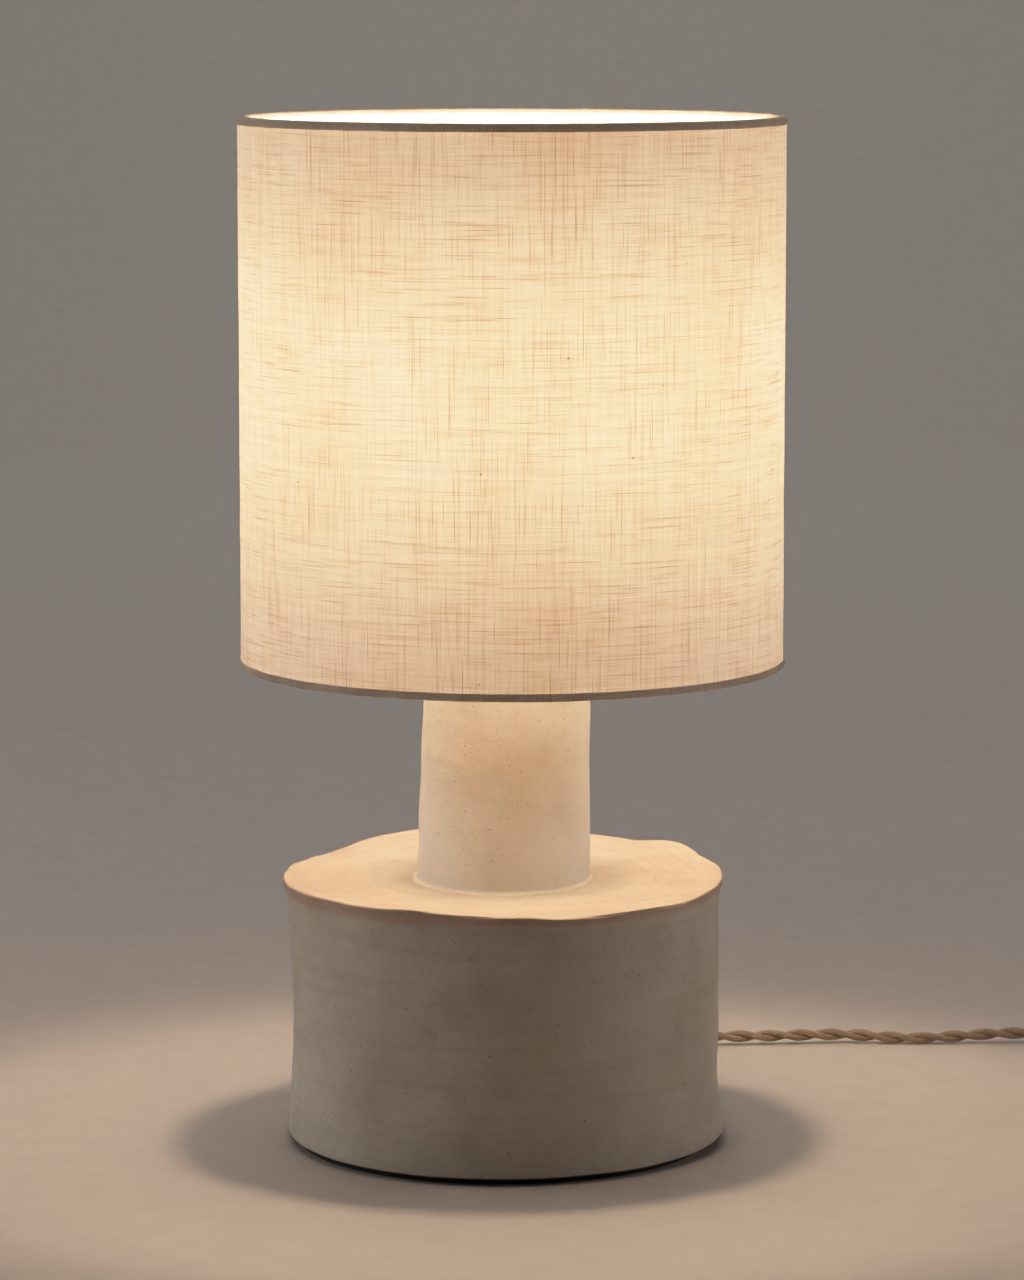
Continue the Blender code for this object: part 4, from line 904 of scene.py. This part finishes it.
def drum_wave(angle, height):
    """How far the drum's hand-built wall leaves a true cylinder."""
    left = max(0, -math.cos(angle)) ** 2
    right = max(0, math.cos(angle + 0.2)) ** 6
    waist = -0.0022 * left * math.exp(-(((height - 0.060) / 0.034) ** 2))
    flare = 0.0044 * right * math.exp(-(((height - 0.006) / 0.012) ** 2))
    return waist + flare + waves(angle, (0.0005, 3, 0.4), (0.0003, 5, 30 * height))


def swell(angle, azimuth, reach):
    """1 at an azimuth, in degrees, and falling off to both sides of it."""
    away = (math.degrees(angle) - azimuth + 180) % 360 - 180
    return math.exp(-((away / reach) ** 2))


# where the hand-built disc's edge stands out or rises: azimuth, how far out, how far up, reach
RIM_SWELLS = (
    (34, 0.0012, 0.0029, 12), (110, 0.0, 0.0028, 20), (150, -0.0003, -0.0025, 12),
    (190, 0.0006, 0.0003, 18), (240, 0.0, 0.0023, 22), (320, 0.0, -0.0014, 22),
)


def rim_shape(angle):
    """How far out and how far up the disc's edge is, round the lamp."""
    out = sum(size * swell(angle, azimuth, reach) for azimuth, size, rise, reach in RIM_SWELLS)
    up = sum(rise * swell(angle, azimuth, reach) for azimuth, size, rise, reach in RIM_SWELLS)
    return out, up


def rim_wave(angle):
    """How far out the disc's edge is, with its short waves."""
    return rim_shape(angle)[0] + waves(angle, (0.0004, 2, 0.6), (0.0004, 5, 2), (0.0002, 9, 0))


def disc_dish(point, radius):
    """The disc leans a little towards the front and sinks towards the neck."""
    out_share = min(max((radius - NECK_RADIUS) / (LIP_RADIUS - NECK_RADIUS), 0), 1)
    return 0.0017 + 0.0024 * point.y / LIP_RADIUS - 0.0022 * (1 - min(out_share * 1.5, 1)) ** 2


# the nicks in the disc's edge: azimuth, depth, reach
RIM_NOTCHES = (
    (160, 0.0011, 3.0), (138, 0.0009, 3.5), (51, 0.0009, 6.0),
    (23, 0.0006, 3.0), (251, 0.0004, 2.0), (296, 0.0005, 3.0),
)


def rim_notch(angle):
    """The nicks that fingers left in the disc's edge."""
    return sum(size * swell(angle, azimuth, reach) for azimuth, size, reach in RIM_NOTCHES)


def rim_lift(angle):
    """The short waves of the disc's edge, up and down, and its nicks."""
    return waves(angle, (0.0004, 7, 1.2), (0.0003, 12, 0)) - 0.7 * rim_notch(angle)


def dents(point, *parts):
    """Smooth unevenness, each part of it with its depth, its size and a seed."""
    return sum(
        depth * noise.noise(point * (1 / size) + Vector((seed, 2 * seed, 0))) for depth, size, seed in parts
    )


def clay_form(point, angle):
    """Moves a point of the true turned form to where the hand-built clay has it."""
    radius = math.hypot(point.x, point.y)
    height = point.z
    dish = disc_dish(point, radius)
    out_by = 0.0
    lifted = 0.0
    if height <= DISC_TOP and radius > DRUM_RADIUS - CLAY_WALL + GAP:
        on_rim = min(max((height - (DISC_TOP - 0.012)) / 0.006, 0), 1)
        out_by = drum_wave(angle, height) * (1 - on_rim) + (rim_wave(angle) - rim_notch(angle)) * on_rim
        out_by += dents(point, (0.0005, 0.022, 1.0), (0.00016, 0.006, 2.0))
        lifted = dish + rim_lift(angle) + rim_shape(angle)[1] + dents(point, (0.0004, 0.012, 3.0))
        lifted *= on_rim
        turned_by = math.remainder(angle, math.tau)
        curl = CURL_RISE * math.exp(-((turned_by / CURL_REACH) ** 2))
        lifted += (curl + dents(point, (0.0004, 0.030, 8.0))) * max(0, 1 - height / 0.016)
    elif height > DISC_TOP + 1e-7 and radius > NECK_RADIUS - CLAY_WALL + GAP:
        rise = (height - DISC_TOP) / (NECK_TOP - DISC_TOP)
        out_by = waves(angle, (0.0005, 2, 18 * height), (0.0003, 5, 0)) + 0.0005 - 0.0013 * rise**3
        out_by += dents(point, (0.0006, 0.024, 4.0), (0.00012, 0.006, 5.0))
        out_by -= (0.0007 + 0.0005 * rise) * max(0, -math.cos(angle)) ** 2
        lifted = dish * max(0, 1 - rise * 4) ** 2
    if abs(height - DISC_TOP) < 1e-6 and radius > NECK_RADIUS:
        at_rim = ((radius - NECK_RADIUS) / (LIP_RADIUS - NECK_RADIUS)) ** 6
        lifted = dish + rim_lift(angle) * at_rim + rim_shape(angle)[1] * at_rim**0.5
        lifted += dents(point, (0.0006, 0.018, 6.0), (0.00016, 0.005, 7.0))
    centre = clay_centre(height) if radius > 0.0062 else 0.0
    return pushed(point, out_by) + Vector((centre, 0, lifted))


def make_clay(finish, felt, plastic):
    """The hollow clay, the felt that it stands on and the gland that the cord leaves by."""
    cavity = DRUM_RADIUS - CLAY_WALL
    neck_cavity = NECK_RADIUS - CLAY_WALL
    disc_bottom = DISC_TOP - 0.0080
    fillet = 0.0018
    profile = [(TUBE_HOLE, NECK_TOP)]
    profile += arc(NECK_RADIUS - 0.003, NECK_TOP - 0.003, 0.003, 90, 0, 6)
    profile += arc(NECK_RADIUS + fillet, DISC_TOP + fillet, fillet, 180, 270, 8)
    profile += arc(LIP_RADIUS - 0.0010, DISC_TOP - 0.0010, 0.0010, 90, 0, 6)
    profile += [(LIP_RADIUS, DISC_TOP - 0.0032), (LIP_RADIUS - 0.0004, DISC_TOP - 0.0042)]
    profile += [(DRUM_RADIUS + 0.0003, DISC_TOP - 0.0056), (DRUM_RADIUS, disc_bottom - 0.002)]
    profile += arc(DRUM_RADIUS - 0.0016, SKIRT_BOTTOM + 0.0016, 0.0016, 0, -90, 6)
    profile += [(FELT_RADIUS + 0.0010, SKIRT_BOTTOM), (FELT_RADIUS + 0.0006, CLAY_BOTTOM)]
    profile += [(cavity, CLAY_BOTTOM), (cavity, disc_bottom - 0.0040), (cavity - 0.0040, disc_bottom)]
    profile += [(neck_cavity + 0.0040, disc_bottom), (neck_cavity, disc_bottom + 0.0040)]
    profile += [(neck_cavity, NECK_TOP - CLAY_WALL - 0.0035), (neck_cavity - 0.0035, NECK_TOP - CLAY_WALL)]
    profile += [(TUBE_HOLE, NECK_TOP - CLAY_WALL)]
    shape = turned(dense(profile, 0.0020), 300, clay_form)
    show(shape, "clay_body", finish, ["ceramic_body"], sharp=75)

    profile = [(0, FELT_TOP)] + arc(FELT_RADIUS - 0.0008, FELT_TOP - 0.0008, 0.0008, 90, 0, 4)
    profile += [(FELT_RADIUS, 0.0002), (FELT_RADIUS - 0.0002, 0), (0, 0)]
    shape = moved(turned(profile, 160), Matrix.Translation((DRUM_OFF_AXIS, 0, 0)))
    show(shape, "felt_pad", felt, ["felt_foot"])

    low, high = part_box("cord_gland")
    flange, bore = 0.0080, CORD_RADIUS + GAP
    outer = DRUM_RADIUS + 0.0011
    profile = [(bore, high[1] - 0.0006), (bore + 0.0003, high[1])]
    profile += [(0.0038, high[1]), (0.0040, high[1] - 0.0003)]
    profile += [(0.0053, outer + 0.0032), (0.0058, outer + 0.0024), (flange - 0.0012, outer + 0.0020)]
    profile += arc(flange - 0.0008, outer + 0.0009, 0.0008, 80, 0, 5) + [(flange, outer), (0.0055, outer)]
    profile += [(0.0055, low[1] + 0.0022), (0.0074, low[1] + 0.0022), (0.0066, low[1]), (bore, low[1])]
    shape = moved(turned(profile, 64), along_y(DRUM_OFF_AXIS, 0, CORD_HOLE_HEIGHT))
    show(shape, "gland", plastic, ["cord_gland"])


# ---- the lampholder and the bulb
def thread(pitch, depth, low, high, outer):
    """A shaping that cuts a round screw thread into a turned piece's outside between two heights."""

    def cut(point, angle):
        radius = math.hypot(point.x, point.y)
        if radius < outer - 0.0004 or not low < point.z < high:
            return point
        fade = min((point.z - low) / 0.001, (high - point.z) / 0.001, 1)
        wave = 0.5 - 0.5 * math.cos(math.tau * point.z / pitch - angle)
        return pushed(point, -depth * wave * fade)

    return cut


def make_holder(plastic, opal, steel):
    """The holder's cap and threaded shell, the shade ring on it, and the bulb in it."""
    inside, outer = 0.0172, 0.0195
    low, high = heights("holder_cap")
    profile = [(inside, high), (outer - 0.0005, high), (outer, high - 0.0005), (outer, low + 0.0080)]
    profile += arc(outer - 0.0080, low + 0.0080, 0.0080, 0, -80, 10) + [(0.0100, low), (0.00525, low)]
    profile += [(0.00525, low + 0.0095), (0.0120, low + 0.0095), (inside, low + 0.0140)]
    show(turned(profile, 72), "holder_body", plastic, ["holder_cap"])

    shell, shoulder = 0.0198, 0.0236
    low, high = heights("holder_shell")
    profile = [(0.0145, high)] + arc(shell - 0.0010, high - 0.0010, 0.0010, 90, 0, 4)
    profile += [(shell, low + 0.0020)] + arc(shoulder - 0.0006, low + 0.0014, 0.0006, 90, 0, 3)
    profile += arc(shoulder - 0.0006, low + 0.0006, 0.0006, 0, -90, 3)
    profile += [(inside, low), (inside, high - 0.0033), (0.0145, high - 0.0033)]
    shape = turned(dense(profile, 0.0006), 96, thread(0.0040, 0.0007, low + 0.0025, high - 0.0012, shell))
    show(shape, "threaded_shell", plastic, ["holder_shell"])

    low, high = heights("shade_ring")
    outer, bore = 0.0253, 0.0203

    def ribbed(point, angle):
        radius = math.hypot(point.x, point.y)
        if radius < outer - 0.0012 or point.z < low + 0.0016:
            return point
        return pushed(point, 0.0004 * math.cos(30 * angle))

    profile = [(bore, high), (outer - 0.0027, high), (outer - 0.0006, high - 0.0006), (outer, high - 0.0016)]
    profile += [(outer, low + 0.0018), (outer + 0.0015, low + 0.0012), (outer + 0.0019, low + 0.0009)]
    profile += [(outer + 0.0019, low), (bore, low)]
    show(turned(profile, 240, ribbed), "ribbed_ring", plastic, ["shade_ring"], "ring")

    low, high = heights("bulb_cap")
    cap = 0.0131
    profile = [(cap - 0.0002, high), (cap, high - 0.0010), (cap, low + 0.0016), (cap - 0.0012, low + 0.0004)]
    profile += [(0.0106, low), (0, low), (0, low + 0.0006), (0.0102, low + 0.0006)]
    profile += [(cap - 0.0015, low + 0.0016), (cap - 0.0015, high - 0.0040)]
    profile += [(cap - 0.0006, high - 0.0030), (cap - 0.0006, high)]
    shape = turned(dense(profile, 0.0006), 72, thread(0.0056, 0.0009, low + 0.0018, high - 0.0030, cap))
    show(shape, "screw_cap", steel, ["bulb_cap"], "bulb")

    neck = 0.0118
    outline = arc(0, BULB_CENTRE.z, BULB_RADIUS, 90, -25, 36)
    last_r, last_z = outline[-1]
    for step in range(1, 15):
        share = step / 14
        eased = share * share * (3 - 2 * share)
        drop = (last_z - (high + 0.002)) * share
        outline.append((last_r + (neck - last_r) * (0.55 * share + 0.45 * eased), last_z - drop))
    outline.append((neck, BULB_LOW[2]))
    inner = [(max(r - 0.0009, 0), z) for r, z in reversed(outline[1:])] + [(0, BULB_HIGH[2] - 0.0009)]
    bulb = show(turned(outline + inner, 96), "opal_bulb", opal, ["bulb_glass"], "bulb", 60)
    bulb.visible_shadow = False
    bulb.visible_diffuse = False


# ---- the shade
def cloth_wave(angle, height):
    """The small unevenness of cloth on a frame."""
    point = polar(3, angle, height * 18)
    return 0.00022 * noise.noise(point) + 0.00010 * noise.noise(point * 4)


def drum_sheet(radius, sides, rows):
    """An open cylinder of cloth, facing out."""
    shape = bmesh.new()
    grid = []
    for row in range(rows + 1):
        height = SHADE_LOW[2] + (SHADE_HIGH[2] - SHADE_LOW[2]) * row / rows
        ring = []
        for side in range(sides):
            angle = math.tau * side / sides + math.pi / 2
            ring.append(shape.verts.new(polar(radius + cloth_wave(angle, height), angle, height)))
        grid.append(ring)
    skin(shape, grid)
    return shape


def hem_roll(point, angle):
    """The uneven roll of a hem."""
    spot = polar(9, angle, 1 if point.z > BULB_CENTRE.z else 5)
    rolled = pushed(point, 0.00016 * noise.noise(spot) + 0.00008 * noise.noise(spot * 6))
    return rolled + Vector((0, 0, 0.00012 * noise.noise(spot * 3)))


def make_shade(linen, seam, liner, tape, white_wire):
    """The cloth and its liner, the hems and wires, the seam's lap, and the fitter with its three arms."""

    def on_shade(shape, name, finish, stands_for):
        return show(shape, name, finish, [stands_for], "shade")

    cloth = on_shade(drum_sheet(SHADE_RADIUS - 0.0002, 360, 90), "linen_cloth", linen, "shade_linen")
    film = on_shade(drum_sheet(SHADE_RADIUS - 0.0011, 360, 30), "liner_film", liner, "shade_liner")
    film.visible_shadow = False
    film.visible_diffuse = False
    film.visible_transmission = False

    outer, fold, height = SHADE_RADIUS + 0.0006, 0.0012, 0.0036
    outline = [(outer - 0.0003, height + 0.0001), (outer - 0.0001, height - 0.0001), (outer, height - 0.0006)]
    outline += arc(outer - fold, fold, fold, 0, -90, 6) + arc(HEM_INNER + fold, fold, fold, -90, -180, 6)
    outline += [(HEM_INNER, 0.0024), (HEM_INNER + 0.0005, 0.0024), (HEM_INNER + 0.0005, 0.0010)]
    outline += [(SHADE_RADIUS + 0.0001, 0.0010), (SHADE_RADIUS + 0.0001, height)]
    for side, level, inward in (("top", HEM_HIGH, -1), ("bottom", HEM_LOW, 1)):
        profile = [(r, level + inward * depth) for r, depth in outline]
        on_shade(turned(profile, 300, hem_roll), f"{side}_hem_tape", tape, f"{side}_hem")
        wire_level = level + inward * 0.0019
        profile = arc(WIRE_PATH, wire_level, WIRE_RADIUS, 0, 345, 23)
        on_shade(turned(profile, 240), f"{side}_wire", white_wire, f"{side}_wire_ring")

    lap_section = ((-1, 0.00005), (-0.94, 0.0004), (0, 0.0005), (0.94, 0.0006), (1, 0.0004), (1, 0.00005))
    rings = []
    rows = 120
    reach = (SEAM_HIGH[0] - SEAM_LOW[0]) / 2 / SHADE_RADIUS
    for row in range(rows + 1):
        height = SEAM_LOW[2] + (SEAM_HIGH[2] - SEAM_LOW[2]) * row / rows
        waver = 0.0016 * noise.noise(Vector((0, 3, height * 40))) / SHADE_RADIUS
        ring = []
        for side, thick in lap_section:
            angle = math.pi / 2 + side * reach + waver * (1 if side > 0 else 0.3)
            ring.append(polar(SHADE_RADIUS + thick, angle, height))
        rings.append(ring)
    lap = on_shade(loft(rings), "seam_lap", seam, "back_seam")

    low, high = heights("fitter_ring")
    edge = (high - low) / 2
    profile = arc(0.0285 - edge, low + edge, edge, 90, -90, 8)
    profile += arc(0.0203 + edge, low + edge, edge, -90, -270, 8)
    on_shade(turned(profile, 120), "fitter", white_wire, "fitter_ring")
    bends = (
        (0.0276, low + edge), (0.0385, low + edge - 0.0010),
        (0.1108, HEM_LOW + 0.0066), (0.1219, HEM_LOW + 0.0050),
    )
    for number, azimuth in enumerate((90, 210, 330), 1):
        points = [polar(reach, math.radians(azimuth), height) for reach, height in bends]
        shape = wire(smooth_route(points, 0.002), 0.0014)
        on_shade(shape, f"arm_{number}", white_wire, f"fitter_arm_{number}")


# ---- the light and the stage
def make_light():
    """The lit bulb, weak softboxes round the lamp and one that lights the backdrop."""
    bulb = bpy.data.lights.new("bulb_light", "POINT")
    bulb.energy = 3.6
    bulb.color = (1.0, 0.76, 0.52)
    bulb.shadow_soft_size = 0.029
    placed("bulb_light", bulb).location = BULB_CENTRE

    boxes = (
        ("left_box", (-1.7, 0.25, 0.30), (0, 0, 0.12), 9.0, (1.0, 0.95, 0.90), 0.9),
        ("right_box", (1.8, 0.25, 0.30), (0, 0, 0.12), 7.0, (1.0, 0.94, 0.87), 0.9),
        ("front_box", (-0.8, -2.3, 1.3), (0, 0, 0.15), 1.4, (0.97, 0.98, 1.0), 1.2),
        ("top_box", (0.0, -0.4, 2.4), (0, 0, 0), 7.0, (1.0, 0.97, 0.95), 1.8),
        ("backdrop_box", (0.0, 2.9, 3.2), (0, 4.0, 0.0), 36.0, (0.95, 0.99, 1.0), 3.4),
    )
    for name, place, target, power, colour, size in boxes:
        made = bpy.data.lights.new(name, "AREA")
        made.energy = power
        made.color = colour
        made.size = size
        softbox = placed(name, made)
        softbox.location = place
        aim = Vector(target) - Vector(place)
        softbox.rotation_euler = aim.to_track_quat("-Z", "Y").to_euler()

    world = bpy.data.worlds.new("studio")
    world.use_nodes = True
    background = world.node_tree.nodes["Background"]
    background.inputs["Color"].default_value = (0.80, 0.76, 0.73, 1.0)
    background.inputs["Strength"].default_value = 0.02
    bpy.context.scene.world = world


def soften_highlights():
    """Rolls bright values off gently, as a camera does, in place of cutting them at white."""
    settings = bpy.context.scene.view_settings
    settings.view_transform = "Standard"
    settings.use_curve_mapping = True
    mapping = settings.curve_mapping
    mapping.white_level = (2.0, 2.0, 2.0)
    curve = mapping.curves[3]
    for given, shown in ((0.25, 0.5), (0.4, 0.745), (0.6, 0.92)):
        curve.points.new(given, shown)
    mapping.update()


def make_stage():
    """A pale floor that sweeps up into a backdrop."""
    made = Finish("studio_floor")
    own = made.place()[0]
    grain = made.noise(own, 55.0, 3.0)
    colour = made.mix(made.smooth(grain, 0.3, 0.7), (212, 200, 191), (208, 196, 187))
    finish = made.surface(colour, 0.75, grain, 0.05, 0.001)
    reach, height, bend_start, bend = 30.0, 6.0, 3.3, 1.8
    outline = [(-reach, 0.0), *arc(bend_start, bend, bend, -90, 0, 32), (bend_start + bend, height)]
    shape = bmesh.new()
    skin(shape, [[shape.verts.new((x, y, z)) for x in (-reach, reach)] for y, z in outline], closed=False)
    mesh = bpy.data.meshes.new("sweep")
    shape.to_mesh(mesh)
    shape.free()
    mesh.shade_smooth()
    mesh.materials.append(finish)
    placed("sweep", mesh)


# ---- CAD nodes that keep their shape
def dress_cad_nodes(finishes):
    """Gives each carried-over CAD node the node material of its slot."""
    for entry in frame["record"]["subparts"]:
        made = bpy.data.objects.get(entry["node"])
        if made is not None and entry["material_slot"] in finishes:
            made.data.materials.clear()
            made.data.materials.append(finishes[entry["material_slot"]])


def main():
    make_camera()
    finishes = {
        "clay": clay_finish(),
        "felt": felt_finish("black_felt", (16, 15, 15), (42, 40, 38)),
        "board": felt_finish("fibre_board", (30, 27, 25), (52, 47, 42)),
        "tie": felt_finish("hook_and_loop", (20, 20, 21), (48, 47, 46)),
        "white_plastic": plastic_finish("white_plastic", (232, 228, 218), (218, 212, 200)),
        "steatite": plastic_finish("steatite", (236, 234, 228), (222, 219, 210), 0.5),
        "black_glass": plastic_finish("black_glass", (22, 22, 24), (32, 32, 35), 0.12),
        "zinc_steel": metal_finish("zinc_steel", (202, 203, 206), (160, 161, 165)),
        "brass": metal_finish("contact_brass", (222, 190, 122), (176, 142, 82)),
        "white_wire": plastic_finish("white_wire", (240, 239, 235), (226, 224, 218), 0.3),
        "textile_cord": braid_finish("inner_braid", False),
    }
    dress_cad_nodes(finishes)
    plastic = finishes["white_plastic"]
    switch_parts = make_switch(plastic)
    plug_parts = make_plug(plastic, pin_finish())
    ties = make_ties(finishes["tie"])
    make_cords(braid_finish("cord_braid", True))
    make_clay(finishes["clay"], finishes["felt"], plastic)
    make_holder(plastic, opal_finish(), finishes["zinc_steel"])
    make_shade(
        linen_finish("linen", 0.184), linen_finish("linen_lap", 0.8), liner_finish(), tape_finish(),
        finishes["white_wire"],
    )
    make_light()
    soften_highlights()
    make_stage()


main()
